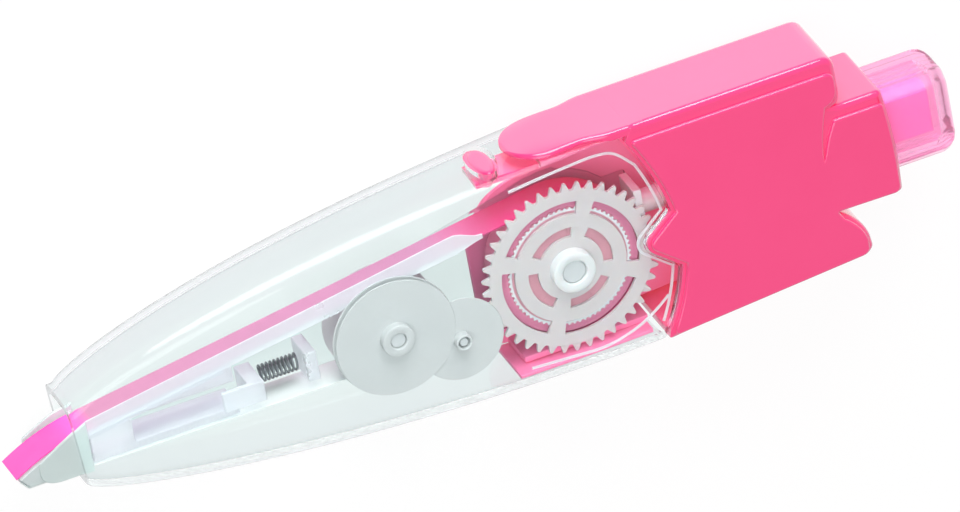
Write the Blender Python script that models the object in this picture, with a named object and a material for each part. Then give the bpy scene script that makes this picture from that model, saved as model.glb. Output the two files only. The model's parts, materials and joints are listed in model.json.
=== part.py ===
# Pen-type highlighter tape: a clear front shell and a coloured rear case hold a
# sliding tape cartridge with a supply reel, an idler and a take-up reel. The knob
# at the rear pushes the cartridge so that its head comes out of the mouth.
#
# Every size below is in millimetres. X runs from the tip to the knob, Y from the
# keel to the back with the tongue, and Z through the thickness. The supply reel's
# axis is at X = 0, Y = 0 until the end, where the whole is set on its base centre.

import math

import bmesh
import bpy
from mathutils import Vector

MM = 0.001

# Clearances
GAP = 0.3
RUN_GAP = 0.2
TOOTH_BACKLASH = 0.12

# Thickness, from the far face to the near face
PANEL_PROUD = 0.4
WALL = 1.0
TRAY_FLOOR = 0.7
PLATE_THICK = 0.6
TAPE_WIDTH = 5.0
DISC_THICK = 0.4
GEAR_THICK = 0.9
HUB_RISE = 0.5

FAR_SIDE = PANEL_PROUD
FAR_INNER = FAR_SIDE + WALL
TRAY_Z = FAR_INNER + GAP
PLATE_Z = TRAY_Z + TRAY_FLOOR + GAP
PLATE_TOP = PLATE_Z + PLATE_THICK
TAPE_Z = PLATE_TOP + RUN_GAP
TAPE_TOP = TAPE_Z + TAPE_WIDTH
DISC_Z = TAPE_TOP + RUN_GAP
GEAR_Z = DISC_Z + DISC_THICK + RUN_GAP
GEAR_TOP = GEAR_Z + GEAR_THICK
HUB_TOP = GEAR_TOP + HUB_RISE
NEAR_INNER = HUB_TOP + GAP
NEAR_SIDE = NEAR_INNER + WALL
THICKNESS = NEAR_SIDE + PANEL_PROUD
MID_Z = THICKNESS / 2
TAPE_MID = (TAPE_Z + TAPE_TOP) / 2

# Gear train
MODULE = 0.51
SUPPLY_TEETH = 42
IDLER_TEETH = 20
TAKE_UP_TEETH = 14
PRESSURE_ANGLE = math.radians(20)
ADDENDUM = 0.9 * MODULE
DEDENDUM = 1.15 * MODULE
IDLER_BEARING = math.radians(195.8)
TAKE_UP_BEARING = math.radians(157.6)


def pitch_radius(teeth):
    return MODULE * teeth / 2


def stepped(point, bearing, distance):
    return (point[0] + distance * math.cos(bearing), point[1] + distance * math.sin(bearing))


SUPPLY = (0.0, 0.0)
IDLER = stepped(SUPPLY, IDLER_BEARING, pitch_radius(SUPPLY_TEETH) + pitch_radius(IDLER_TEETH))
TAKE_UP_DISTANCE = pitch_radius(IDLER_TEETH) + pitch_radius(TAKE_UP_TEETH)
TAKE_UP = stepped(IDLER, TAKE_UP_BEARING, TAKE_UP_DISTANCE)
SUPPLY_TIP = pitch_radius(SUPPLY_TEETH) + ADDENDUM

# Reels
SUPPLY_AXLE_R = 1.5
SUPPLY_HUB_R = 2.9
DRUM_R = 5.0
ROLL_R = 9.0
SLOT_INNER = (4.2, 5.5)
SLOT_OUTER = (7.2, 9.2)
SPOKE_WIDTH = 2.0
SPOKE_BEARING = math.radians(68)
SPOKES = 4
WASHER_R = 8.0
WASHER_TOOTH = 0.25
WASHER_TEETH = 40
TAKE_UP_AXLE_R = 0.95
TAKE_UP_HUB_R = 2.1
SPOOL_R = 3.1
LINER_ROLL_R = 3.7
IDLER_PIN_R = 0.55
IDLER_BOSS_R = 1.0
IDLER_HUB_R = 1.1
TAKE_UP_DISC_R = TAKE_UP_DISTANCE - IDLER_PIN_R - GAP

# Tape route
TAPE_THICK = 0.15
WRAP_TURN = math.radians(270)
TIP_REACH = 72.6
TIP_Y = -3.1
HEAD_LENGTH = 9.6
SHOULDER_Y = 0.3
NOSE_BACK = 1.5
NOSE_DROP = 1.7
NOSE_R = 0.35
HEEL_Y = -4.7
CHEEK_THICK = 0.4
CHEEK_BACK = 2.9
CHEEK_DROP = 0.4
FAR_CHEEK_RISE = 1.0

# Clear front shell
HEAD_SHOW = 8.3
MOUTH_TOP = 4.4
MOUTH_BOTTOM = -6.7
HEAD_ROOM = 4.7
GEAR_ROOM = 0.95
FULL_THICK_X = -14.0
CROWN_MID_X = -36.0
CROWN_REAR_X = 3.0
NOSE_CROWN = 3.6
MID_CROWN = 5.0
REAR_CROWN = 1.3
BACK_POWER = 3.5
NOSE_KEEL = 1.5
MID_KEEL = 2.0
REAR_KEEL = 1.1
TOP_FULLNESS = 0.68
BELLY_FULLNESS = 0.7
BELLY_X = -4.0
SHELL_TOP_X = 14.5
SHELL_STATIONS = 15
STATION_SPREAD = 1.25
BACK_STEPS = 10
KEEL_STEPS = 6

# Joint line between the shell and the case, as on a jigsaw piece
JOINT_TOP_X = 8.0
JOINT_UPPER = (13.1, 4.3)
JOINT_LOWER = (13.4, -2.8)
JOINT_BOTTOM_X = 9.4
JOINT_TOP_PULL = (12.2, 10.0)
JOINT_BOTTOM_PULL = (12.4, -8.6)
TAB_CENTRE = (10.9, 0.6)
TAB_R = 1.8

# Rear case
TONGUE_THICK = 0.5
TONGUE_NOSE_X = -4.9
TONGUE_HALF = 5.0
TONGUE_TIP = 0.1
TONGUE_ROWS = 9
TONGUE_COLUMNS = 8
EDGE_R = 0.35
PANEL_EDGE = 0.15
PANEL_MARGIN = 0.1
BAND_HEIGHT = 1.9
COLLAR_BAND = 1.6
STROKE = 10.0
OVER_TRAVEL = 1.2
BULKHEAD_ROOM = 1.35
BULKHEAD_THICK = 1.0
KNOCK_ROOM = 13.5
COLLAR_LENGTH = 5.8
COLLAR_BOTTOM = -3.8
COLLAR_TOP = 11.3
REAR_WALL = 3.0
CASE_BOTTOM_REAR = -10.4
FIN_REACH = 0.9
NECK_BACK = 2.5
NOTCH_BACK = 1.0
NOTCH_RISE = 2.2
COLLAR_BOW = 0.5
COLLAR_LEAN = 0.6
CREASE_BOW = 2.2
CREASE_WIDTH = 0.4

# Knock button and its guide
KNOCK_Y = 3.75
CAP_HALF_Y = 5.4
CAP_HALF_Z = 4.2
CAP_CHAMFER = 1.2
CAP_SHOW = 8.3
CAP_LENGTH = 21.0
CAP_WALL = 1.0
CAP_END = 1.3
SLEEVE_R = 2.9
BORE_R = 1.9
GROOVE_DEPTH = 0.5
GROOVE_WIDTH = 1.4
SLEEVE_LENGTH = 11.0
PLUNGER_R = 1.6
CORE_HALF_Y = 3.1
CORE_HALF_Z = 1.9
CORE_LENGTH = 12.0
ROTOR_LENGTH = 5.0
ROTOR_R = 1.6
ROD_R = 1.5
BRACKET_THICK = 1.0
BRACKET_HALF = 3.0
PLATE_OPEN = math.radians(115)

# Spring and what it presses on
SPRING_Y = -1.65
SPRING_R = 1.0
SPRING_WIRE = 0.3
SPRING_TURNS = 6
SPRING_STEPS = 9
SPRING_LENGTH = 5.4
POST_ROOM = 2.0
POST_THICK = 1.5
POST_HALF = 2.0
SEAT_THICK = 2.0
SEAT_HALF = 1.4
SEAT_FOOT = 3.4
SEAT_FOOT_THICK = 0.7
HOLDER_RAIL = 0.9
HOLDER_BLOCK = 5.5

# Tray and release tab
TRAY_FRONT_X = -10.5
TRAY_CORNER = 3.0
TRAY_WALL = 0.8
TAB_X = -8.2
TAB_HALF_X = 1.3
TAB_HALF_Z = 3.2
TAB_RISE = 0.35
TAB_CLEAR = 0.45
TAB_SIDES = 20
ARM_HALF = 2.2
ARM_THICK = 0.7
ARM_ROOT_X = -1.0

SEGMENTS = 32
SHARP_ANGLE = math.radians(35)
ROUND_STEPS = 2

# Places that follow from the sizes above
TIP = (-TIP_REACH, TIP_Y)
SHOULDER = (HEAD_LENGTH - TIP_REACH, SHOULDER_Y)
MOUTH_X = HEAD_SHOW - TIP_REACH
SHELL_TOP = SUPPLY_TIP + HEAD_ROOM + WALL
SHELL_BOTTOM = -(SUPPLY_TIP + GEAR_ROOM + WALL)
CASE_TOP = SHELL_TOP + GAP + TONGUE_THICK
BULKHEAD_X = SUPPLY_TIP + STROKE + BULKHEAD_ROOM
CASE_REAR = BULKHEAD_X + KNOCK_ROOM
COLLAR_REAR = CASE_REAR + COLLAR_LENGTH
CAP_REAR = COLLAR_REAR + CAP_SHOW
HEAD_HALF = TAPE_WIDTH / 2 + RUN_GAP + CHEEK_THICK
MOUTH_HALF = HEAD_HALF + GAP + WALL
FULL_HALF = MID_Z - PANEL_PROUD
POST_REAR = TAKE_UP[0] - TAKE_UP_DISC_R - POST_ROOM
POST_FRONT = POST_REAR - POST_THICK
SPRING_REAR = POST_FRONT - GAP
SPRING_FRONT = SPRING_REAR - SPRING_LENGTH
SEAT_REAR = SPRING_FRONT - GAP
SEAT_FRONT = SEAT_REAR - SEAT_THICK
HOLDER_REAR = SEAT_FRONT - OVER_TRAVEL
HOLDER_FRONT = SHOULDER[0] + GAP
ROTOR_REAR = BULKHEAD_X - GAP
ROTOR_FRONT = ROTOR_REAR - ROTOR_LENGTH
TAPE_R = ROLL_R + RUN_GAP + TAPE_THICK / 2
LINER_R = LINER_ROLL_R + RUN_GAP + TAPE_THICK / 2

FINISHES = {
    "pink": ((0.93, 0.08, 0.26), 0.25, 0.0, 0.0),
    "clear": ((0.90, 0.95, 0.97), 0.05, 0.0, 0.9),
    "frosted": ((0.80, 0.86, 0.86), 0.35, 0.0, 0.4),
    "white": ((0.86, 0.87, 0.88), 0.30, 0.0, 0.0),
    "magenta": ((0.90, 0.15, 0.60), 0.12, 0.0, 0.3),
    "tape": ((0.95, 0.25, 0.60), 0.40, 0.0, 0.0),
    "liner": ((0.88, 0.88, 0.86), 0.45, 0.0, 0.0),
    "steel": ((0.35, 0.36, 0.38), 0.30, 1.0, 0.0),
    "grey": ((0.55, 0.56, 0.58), 0.35, 0.0, 0.0),
}


# Plane geometry

def unit(vector):
    length = math.hypot(*vector)
    return (vector[0] / length, vector[1] / length)


def arc(centre, radius, start, end, steps):
    turns = [start + (end - start) * k / steps for k in range(steps + 1)]
    return [stepped(centre, turn, radius) for turn in turns]


def curve(start, pull, end, steps):
    points = []
    for k in range(steps + 1):
        t = k / steps
        a = (1 - t) ** 2
        b = 2 * t * (1 - t)
        c = t ** 2
        points.append(tuple(a * s + b * p + c * e for s, p, e in zip(start, pull, end)))
    return points


# Moves a path to its left by a distance, with mitred corners
def beside(path, distance, closed=False):
    count = len(path)
    moved = []
    for k, point in enumerate(path):
        before = path[k - 1] if closed or k else None
        after = path[(k + 1) % count] if closed or k < count - 1 else None
        ways = []
        if before is not None:
            ways.append(unit((point[0] - before[0], point[1] - before[1])))
        if after is not None:
            ways.append(unit((after[0] - point[0], after[1] - point[1])))
        normals = [(-way[1], way[0]) for way in ways]
        mean = unit((sum(n[0] for n in normals), sum(n[1] for n in normals)))
        reach = distance / (mean[0] * normals[0][0] + mean[1] * normals[0][1])
        moved.append((point[0] + mean[0] * reach, point[1] + mean[1] * reach))
    return moved


def circle(radius, segments=SEGMENTS):
    return arc((0, 0), radius, 0, 2 * math.pi * (segments - 1) / segments, segments - 1)


# The point where a line from outside touches a circle, on the given side of it
def touch(centre, radius, point, side):
    bearing = math.atan2(point[1] - centre[1], point[0] - centre[0])
    swing = math.acos(radius / math.dist(centre, point))
    return stepped(centre, bearing + side * swing, radius)


# Meshes

def make_material(name, finish):
    colour, roughness, metallic, transmission = FINISHES[finish]
    material = bpy.data.materials.new(name)
    material.use_nodes = True
    shader = material.node_tree.nodes["Principled BSDF"]
    shader.inputs["Base Color"].default_value = (*colour, 1)
    shader.inputs["Roughness"].default_value = roughness
    shader.inputs["Metallic"].default_value = metallic
    shader.inputs["Transmission Weight"].default_value = transmission
    return material


def make_object(name, bm, finish):
    bmesh.ops.recalc_face_normals(bm, faces=bm.faces)
    mesh = bpy.data.meshes.new(name)
    bm.to_mesh(mesh)
    bm.free()
    mesh.shade_smooth()
    mesh.set_sharp_from_angle(angle=SHARP_ANGLE)
    part = bpy.data.objects.new(name, mesh)
    bpy.context.scene.collection.objects.link(part)
    mesh.materials.append(make_material(name, finish))
    return part


# Joins rings of points into a skin: capped at both ends, or closed into a loop
def loft(name, rings, finish, closed=False):
    bm = bmesh.new()
    rows = [[bm.verts.new(Vector(point) * MM) for point in ring] for ring in rings]
    count = len(rows[0])
    pairs = list(zip(rows, rows[1:]))
    if closed:
        pairs.append((rows[-1], rows[0]))
    for low, high in pairs:
        for k in range(count):
            following = (k + 1) % count
            bm.faces.new((low[k], low[following], high[following], high[k]))
    if not closed:
        bm.faces.new(rows[0])
        bm.faces.new(rows[-1])
    return make_object(name, bm, finish)


def prism(name, outline, z0, z1, finish):
    rings = [[(x, y, z) for x, y in outline] for z in (z0, z1)]
    return loft(name, rings, finish)


# A prism along X from an outline in Y and Z
def bar(name, outline, x0, x1, finish):
    rings = [[(x, y, z) for y, z in outline] for x in (x0, x1)]
    return loft(name, rings, finish)


# A prism whose two rims are rounded; its outline runs counter-clockwise
def soft_prism(name, outline, z0, z1, edge, finish):
    turns = [math.pi / 2 * k / ROUND_STEPS for k in range(ROUND_STEPS + 1)]
    steps = [(edge * (1 - math.cos(turn)), edge * (1 - math.sin(turn))) for turn in turns]
    low = [(z0 + rise, inset) for rise, inset in steps]
    high = [(z1 - rise, inset) for rise, inset in reversed(steps)]
    rings = []
    for z, inset in low + high:
        rings.append([(x, y, z) for x, y in beside(outline, inset, closed=True)])
    return loft(name, rings, finish)


# A turned piece from a closed profile of radius and height
def turned(name, profile, finish, segments=SEGMENTS):
    rings = []
    for k in range(segments):
        turn = 2 * math.pi * k / segments
        rings.append([(r * math.cos(turn), r * math.sin(turn), z) for r, z in profile])
    return loft(name, rings, finish, closed=True)


def ring(name, inner, outer, z0, z1, finish, segments=SEGMENTS):
    profile = [(inner, z0), (outer, z0), (outer, z1), (inner, z1)]
    return turned(name, profile, finish, segments)


def combine(target, operation, tools):
    for tool in tools:
        step = target.modifiers.new(tool.name, "BOOLEAN")
        step.operation = operation
        step.solver = "EXACT"
        step.object = tool
    bpy.context.view_layer.update()
    graph = bpy.context.evaluated_depsgraph_get()
    mesh = bpy.data.meshes.new_from_object(target.evaluated_get(graph))
    target.modifiers.clear()
    target.data = mesh
    for tool in tools:
        bpy.data.objects.remove(tool)
    mesh.shade_smooth()
    mesh.set_sharp_from_angle(angle=SHARP_ANGLE)
    return target


def put(part, parent, place=(0, 0)):
    part.parent = parent
    part.location = (place[0] * MM, place[1] * MM, 0)
    return part


def holder_empty(name, place, parent=None):
    empty = bpy.data.objects.new(name, None)
    bpy.context.scene.collection.objects.link(empty)
    empty.parent = parent
    empty.location = Vector((*place, 0)) * MM
    return empty


# Shape of the clear shell

def eased(value, low, high):
    return min(max((value - low) / (high - low), 0.0), 1.0)


def shell_top(x):
    u = (x - MOUTH_X) / (SHELL_TOP_X - MOUTH_X)
    return MOUTH_TOP + (SHELL_TOP - MOUTH_TOP) * (1 - (1 - u) ** 2) ** TOP_FULLNESS


def shell_bottom(x):
    u = (x - MOUTH_X) / (BELLY_X - MOUTH_X)
    return MOUTH_BOTTOM + (SHELL_BOTTOM - MOUTH_BOTTOM) * (1 - (1 - u) ** 2) ** BELLY_FULLNESS


def bulge(x, nose, middle, rear):
    if x < CROWN_MID_X:
        t = eased(x, MOUTH_X, CROWN_MID_X)
        return nose + (middle - nose) * (1 - (1 - t) ** 2)
    t = eased(x, CROWN_MID_X, CROWN_REAR_X)
    return middle + (rear - middle) * t ** 2


def shell_crown(x):
    return bulge(x, NOSE_CROWN, MID_CROWN, REAR_CROWN)


def shell_keel(x):
    return bulge(x, NOSE_KEEL, MID_KEEL, REAR_KEEL)


def shell_half(x):
    t = eased(x, MOUTH_X, FULL_THICK_X)
    return MOUTH_HALF + (FULL_HALF - MOUTH_HALF) * (1 - (1 - t) ** 2)


def shell_middle(x):
    t = eased(x, MOUTH_X, FULL_THICK_X)
    return TAPE_MID + (MID_Z - TAPE_MID) * t


# Height of an arch of unit size above its base, at a share of its half width
def arch(share, power):
    return max(1 - abs(share) ** power, 0.0) ** (1 / power)


# Heights of the shell's back, and of its inner skin, at a place
def shell_back(x, z):
    share = (z - shell_middle(x)) / shell_half(x)
    crown = shell_crown(x)
    return shell_top(x) - crown + crown * arch(share, BACK_POWER)


def inner_share(x, z):
    return (z - shell_middle(x)) / (shell_half(x) - WALL)


def inner_back(x, z):
    crown = shell_crown(x)
    return shell_top(x) - crown + (crown - WALL) * arch(inner_share(x, z), BACK_POWER)


def inner_keel(x, z):
    keel = shell_keel(x)
    return shell_bottom(x) + keel - (keel - WALL) * arch(inner_share(x, z), 2)


# One cross-section: an arched back, flat sides and a rounded keel
def shell_section(x, inset):
    half = shell_half(x) - inset
    middle = shell_middle(x)
    crown = shell_crown(x) - inset
    keel = shell_keel(x) - inset
    back = shell_top(x) - shell_crown(x)
    base = shell_bottom(x) + shell_keel(x)
    points = []
    for k in range(BACK_STEPS + 1):
        turn = math.pi * k / BACK_STEPS
        rise = abs(math.sin(turn)) ** (2 / BACK_POWER)
        reach = math.copysign(abs(math.cos(turn)) ** (2 / BACK_POWER), math.cos(turn))
        points.append((x, back + crown * rise, middle + half * reach))
    for k in range(KEEL_STEPS + 1):
        turn = math.pi * k / KEEL_STEPS
        points.append((x, base - keel * math.sin(turn), middle - half * math.cos(turn)))
    return points


# The jigsaw line from the top to the bottom
def joint_line():
    top = (JOINT_TOP_X, CASE_TOP)
    bottom = (JOINT_BOTTOM_X, shell_bottom(JOINT_BOTTOM_X) - GAP)
    upper = touch(TAB_CENTRE, TAB_R, JOINT_UPPER, 1)
    lower = touch(TAB_CENTRE, TAB_R, JOINT_LOWER, -1)
    start = math.atan2(upper[1] - TAB_CENTRE[1], upper[0] - TAB_CENTRE[0])
    end = math.atan2(lower[1] - TAB_CENTRE[1], lower[0] - TAB_CENTRE[0]) + 2 * math.pi
    line = curve(top, JOINT_TOP_PULL, JOINT_UPPER, 7)
    line += arc(TAB_CENTRE, TAB_R, start, end, 8)
    line += curve(JOINT_LOWER, JOINT_BOTTOM_PULL, bottom, 6)
    return line


def front_shell():
    last = JOINT_LOWER[0] + WALL
    shares = [(k / SHELL_STATIONS) ** STATION_SPREAD for k in range(SHELL_STATIONS + 1)]
    stations = [MOUTH_X + (last - MOUTH_X) * share for share in shares]
    rings = [shell_section(x, 0.0) for x in stations]
    rings += [shell_section(x, WALL) for x in reversed(stations)]
    shell = loft("front_shell", rings, "clear", closed=True)
    line = joint_line()
    beyond = last + WALL
    rest = [(beyond, line[-1][1] - WALL), (beyond, line[0][1] + WALL)]
    edge = [(line[0][0], line[0][1] + WALL)] + line + [(line[-1][0], line[-1][1] - WALL)]
    rear = prism("shell_rear_cut", edge + rest, -WALL, THICKNESS + WALL, "clear")
    reach = [tray_top() - WALL, CASE_TOP + WALL]
    hole = loft("tab_hole", [tab_ring(TAB_CLEAR, y) for y in reach], "clear")
    return combine(shell, "DIFFERENCE", [rear, hole])


# Release tab: an oval on a springy arm

def tab_ring(grow, y=None):
    points = []
    for k in range(TAB_SIDES):
        turn = 2 * math.pi * k / TAB_SIDES
        x = TAB_X + (TAB_HALF_X + grow) * math.cos(turn)
        z = MID_Z + (TAB_HALF_Z + grow) * math.sin(turn)
        height = shell_back(x, z) + TAB_RISE if y is None else y
        points.append((x, height, z))
    return points


def release_tab():
    arm_top = tray_top()
    arm_low = arm_top - ARM_THICK
    front = TAB_X - TAB_HALF_X
    root = ARM_ROOT_X - GAP
    outline = [(front, arm_low), (root, arm_low), (root, arm_top), (front, arm_top)]
    arm = prism("release_tab", outline, MID_Z - ARM_HALF, MID_Z + ARM_HALF, "pink")
    low = arm_top - ARM_THICK / 2
    oval = loft("tab_oval", [tab_ring(0.0, low), tab_ring(0.0)], "pink")
    return combine(arm, "UNION", [oval])


# Rear case

def case_bottom(x):
    front = shell_bottom(JOINT_BOTTOM_X)
    t = (x - JOINT_BOTTOM_X) / (CASE_REAR - JOINT_BOTTOM_X)
    return front + (CASE_BOTTOM_REAR - front) * t


def front_edge(clearance):
    line = beside(joint_line(), clearance)
    first = (line[0][0], CASE_TOP)
    last = (line[-1][0], case_bottom(line[-1][0]))
    return [first] + line[1:-1] + [last]


def crease():
    low = (CASE_REAR - NECK_BACK, COLLAR_BOTTOM)
    pull = (low[0] - CREASE_BOW, (COLLAR_BOTTOM + COLLAR_TOP) / 2)
    high = (CASE_REAR - NOTCH_BACK, COLLAR_TOP)
    return curve(low, pull, high, 6)


def collar_end():
    bow = (COLLAR_REAR + COLLAR_BOW, (COLLAR_BOTTOM + COLLAR_TOP) / 2)
    return curve((COLLAR_REAR, COLLAR_BOTTOM), bow, (COLLAR_REAR - COLLAR_LEAN, COLLAR_TOP), 4)


def heel_curve():
    fin = (CASE_REAR + FIN_REACH, CASE_BOTTOM_REAR + FIN_REACH)
    neck = (CASE_REAR - NECK_BACK, COLLAR_BOTTOM)
    return curve(fin, (fin[0], neck[1] - NECK_BACK), neck, 5)


def case_outline():
    notch = (CASE_REAR - NOTCH_BACK, COLLAR_TOP)
    corner = (CASE_REAR, COLLAR_TOP)
    shoulder = curve(notch, corner, (CASE_REAR, COLLAR_TOP + NOTCH_RISE), 3)
    bottom = [(CASE_REAR, CASE_BOTTOM_REAR)]
    return front_edge(GAP) + bottom + heel_curve() + collar_end() + shoulder + [(CASE_REAR, CASE_TOP)]


# The flat of the case's side, inside its rounded rim: the run from the joint line
# round the bottom to the neck, and the collar's end
def side_runs():
    inner = beside(case_outline(), EDGE_R + PANEL_MARGIN, closed=True)
    neck = len(front_edge(GAP)) + 1 + len(heel_curve())
    return inner[:neck], inner[neck:neck + len(collar_end())]


# The raised side panel of the case, below the band along its back
def panel_outline():
    top = CASE_TOP - BAND_HEIGHT
    run = side_runs()[0]
    start = next(k for k, point in enumerate(run) if point[1] < top)
    above = run[start - 1]
    below = run[start]
    share = (above[1] - top) / (above[1] - below[1])
    first = (above[0] + share * (below[0] - above[0]), top)
    margin = EDGE_R + PANEL_MARGIN
    rear_x = CASE_REAR - margin
    rear = [(x - margin, y) for x, y in crease()[1:]]
    rear += [(rear_x, COLLAR_TOP + NOTCH_RISE), (rear_x, top)]
    return [first] + run[start:] + rear


def collar_panel_outline():
    top = COLLAR_TOP - COLLAR_BAND
    end = side_runs()[1]
    side = [(x + CREASE_WIDTH, y) for x, y in crease() if end[0][1] < y < top]
    low = (side[0][0], end[0][1])
    rear = [point for point in end if point[1] < top]
    corners = [(rear[-1][0], top), (side[-1][0], top)]
    return [low] + rear + corners + side[::-1]


# The tongue lies over the clear shell's back and follows its arch
def tongue():
    root = JOINT_TOP_X + GAP + WALL
    centre = TONGUE_NOSE_X + TONGUE_HALF
    shares = [2 * j / TONGUE_COLUMNS - 1 for j in range(TONGUE_COLUMNS + 1)]
    rings = []
    for k in range(TONGUE_ROWS + 1):
        turn = math.pi / 2 * k / TONGUE_ROWS
        x = root + (TONGUE_NOSE_X - root) * math.sin(turn)
        reach = max(centre - x, 0.0) / TONGUE_HALF
        half = TONGUE_HALF * max(arch(reach, 2), TONGUE_TIP)
        zs = [MID_Z + half * share for share in shares]
        low = [(x, shell_back(x, z) + GAP, z) for z in zs]
        high = [(x, y + TONGUE_THICK, z) for x, y, z in reversed(low)]
        rings.append(low + high)
    return loft("tongue", rings, "pink")


def case_cavity():
    rear = CASE_REAR - REAR_WALL
    top = CASE_TOP - WALL
    front = TONGUE_NOSE_X
    outline = [(front, case_bottom(front) + WALL), (rear, case_bottom(rear) + WALL)]
    outline += [(rear, top), (front, top)]
    return prism("case_cavity", outline, FAR_INNER, NEAR_INNER, "pink")


# Outline of the knock cap in Y and Z, with its long edges cut off
def cap_section(grow):
    y = CAP_HALF_Y + grow
    z = CAP_HALF_Z + grow
    cut = CAP_CHAMFER
    corners = [(y, z - cut), (y - cut, z), (cut - y, z), (-y, z - cut)]
    corners += [(-a, -b) for a, b in corners]
    return [(KNOCK_Y + a, MID_Z + b) for a, b in corners]


def rear_case():
    body = soft_prism("rear_case", case_outline(), FAR_SIDE, NEAR_SIDE, EDGE_R, "pink")
    plates = []
    for outline in (panel_outline(), collar_panel_outline()):
        for z0, z1 in ((0.0, FAR_SIDE + WALL / 2), (NEAR_SIDE - WALL / 2, THICKNESS)):
            plates.append(soft_prism("panel", outline, z0, z1, PANEL_EDGE, "pink"))
    body = combine(body, "UNION", plates + [tongue()])
    front = CASE_REAR - REAR_WALL - WALL
    cap_hole = bar("cap_hole", cap_section(GAP), front, COLLAR_REAR + WALL, "pink")
    return combine(body, "DIFFERENCE", [case_cavity(), cap_hole])


# Inner tray, fixed in both halves

def tray_top():
    return inner_back(ARM_ROOT_X, TRAY_Z) - GAP


def tray_bottom():
    return inner_keel(TRAY_FRONT_X, TRAY_Z) + GAP


def tray_floor():
    low = tray_bottom()
    rear = BULKHEAD_X - GAP
    rear_low = case_bottom(rear) + WALL + GAP
    turn_x = TRAY_FRONT_X + TRAY_CORNER
    front_top = inner_back(TRAY_FRONT_X, TRAY_Z) - GAP - TRAY_CORNER
    lower = arc((turn_x, low + TRAY_CORNER), TRAY_CORNER, math.pi, 1.5 * math.pi, 4)
    upper = arc((turn_x, front_top), TRAY_CORNER, math.pi / 2, math.pi, 4)
    slope = []
    for k in range(4):
        x = ARM_ROOT_X + (turn_x - ARM_ROOT_X) * k / 4
        slope.append((x, inner_back(x, TRAY_Z) - GAP))
    return lower + [(JOINT_BOTTOM_X, low), (rear, rear_low), (rear, tray_top())] + slope + upper


def chassis():
    wall_top = TAPE_TOP - GAP
    high = tray_top()
    low = tray_bottom()
    rear = BULKHEAD_X - GAP
    tray = prism("chassis", tray_floor(), TRAY_Z, TRAY_Z + TRAY_FLOOR, "pink")
    spans = ((ARM_ROOT_X, rear, high - TRAY_WALL), (TRAY_FRONT_X + TRAY_CORNER, JOINT_BOTTOM_X, low))
    walls = []
    for x0, x1, y in spans:
        outline = [(x0, y), (x1, y), (x1, y + TRAY_WALL), (x0, y + TRAY_WALL)]
        walls.append(prism("tray_wall", outline, TRAY_Z + TRAY_FLOOR / 2, wall_top, "pink"))
    return combine(tray, "UNION", walls)


# Knock mechanism

# A round outline with four ribs standing out of it, in Y and Z about the knock axis
def ribbed_section(radius, rib_r, rib_width):
    half = math.asin(rib_width / 2 / radius)
    points = []
    for k in range(4):
        middle = math.pi / 2 * k
        rise = math.asin(rib_width / 2 / rib_r)
        points += [(rib_r, middle - rise), (rib_r, middle), (rib_r, middle + rise)]
        for j in range(4):
            points.append((radius, middle + half + (math.pi / 2 - 2 * half) * j / 3))
    return [(KNOCK_Y + r * math.cos(a), MID_Z + r * math.sin(a)) for r, a in points]


def knock_circle(radius, segments=24):
    return [(KNOCK_Y + y, MID_Z + z) for y, z in circle(radius, segments)]


def knock_guide():
    rear = BULKHEAD_X + BULKHEAD_THICK
    y0 = case_bottom(rear) + WALL + GAP
    y1 = CASE_TOP - WALL - GAP
    z0 = FAR_INNER + GAP
    z1 = NEAR_INNER - GAP
    wall = bar("knock_guide", [(y0, z0), (y1, z0), (y1, z1), (y0, z1)], BULKHEAD_X, rear, "white")
    sleeve = bar("sleeve", knock_circle(SLEEVE_R), BULKHEAD_X + GAP, BULKHEAD_X + SLEEVE_LENGTH, "white")
    wall = combine(wall, "UNION", [sleeve])
    bore = ribbed_section(BORE_R, BORE_R + GROOVE_DEPTH, GROOVE_WIDTH)
    cut = bar("bore", bore, BULKHEAD_X - WALL, BULKHEAD_X + SLEEVE_LENGTH + WALL, "white")
    return combine(wall, "DIFFERENCE", [cut])


def cam_rotor():
    section = ribbed_section(ROTOR_R, BORE_R + GROOVE_DEPTH - RUN_GAP, GROOVE_WIDTH - 2 * RUN_GAP)
    return bar("cam_rotor", section, ROTOR_FRONT, ROTOR_REAR, "white")


def knock_cap():
    front = CAP_REAR - CAP_LENGTH
    depth = CAP_REAR - CAP_END
    inside = cap_section(-CAP_WALL)
    outside = cap_section(0.0)
    end = cap_section(-CAP_CHAMFER)
    stations = [(depth, inside), (front, inside), (front, outside)]
    stations += [(CAP_REAR - CAP_CHAMFER, outside), (CAP_REAR, end)]
    rings = [[(x, y, z) for y, z in section] for x, section in stations]
    return loft("knock_cap", rings, "magenta")


def core_section(segments=24):
    points = []
    for y, z in circle(1.0, segments):
        reach = max(abs(y), abs(z))
        points.append((KNOCK_Y + y / reach * CORE_HALF_Y, MID_Z + z / reach * CORE_HALF_Z))
    return points


def knock_core():
    rear = CAP_REAR - CAP_END - GAP
    neck = rear - CORE_LENGTH
    rod = knock_circle(PLUNGER_R)
    block = core_section()
    stations = [(ROTOR_REAR + GAP, rod), (neck, rod), (neck, block), (rear, block)]
    rings = [[(x, y, z) for y, z in section] for x, section in stations]
    return loft("knock_core", rings, "magenta")


def bracket_front():
    return TAPE_R + TAPE_THICK / 2 + GAP


def push_rod():
    front = bracket_front()
    rear = front + BRACKET_THICK
    y0 = KNOCK_Y - BRACKET_HALF
    y1 = KNOCK_Y + BRACKET_HALF
    outline = [(front, y0), (rear, y0), (rear, y1), (front, y1)]
    wall = prism("push_rod", outline, PLATE_TOP + GAP, TAPE_TOP, "white")
    rod = bar("rod", knock_circle(ROD_R), rear - BRACKET_THICK / 2, ROTOR_FRONT - GAP, "white")
    return combine(wall, "UNION", [rod])


# Tape route

def tape_start():
    return touch(SUPPLY, TAPE_R, SHOULDER, -1)


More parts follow.
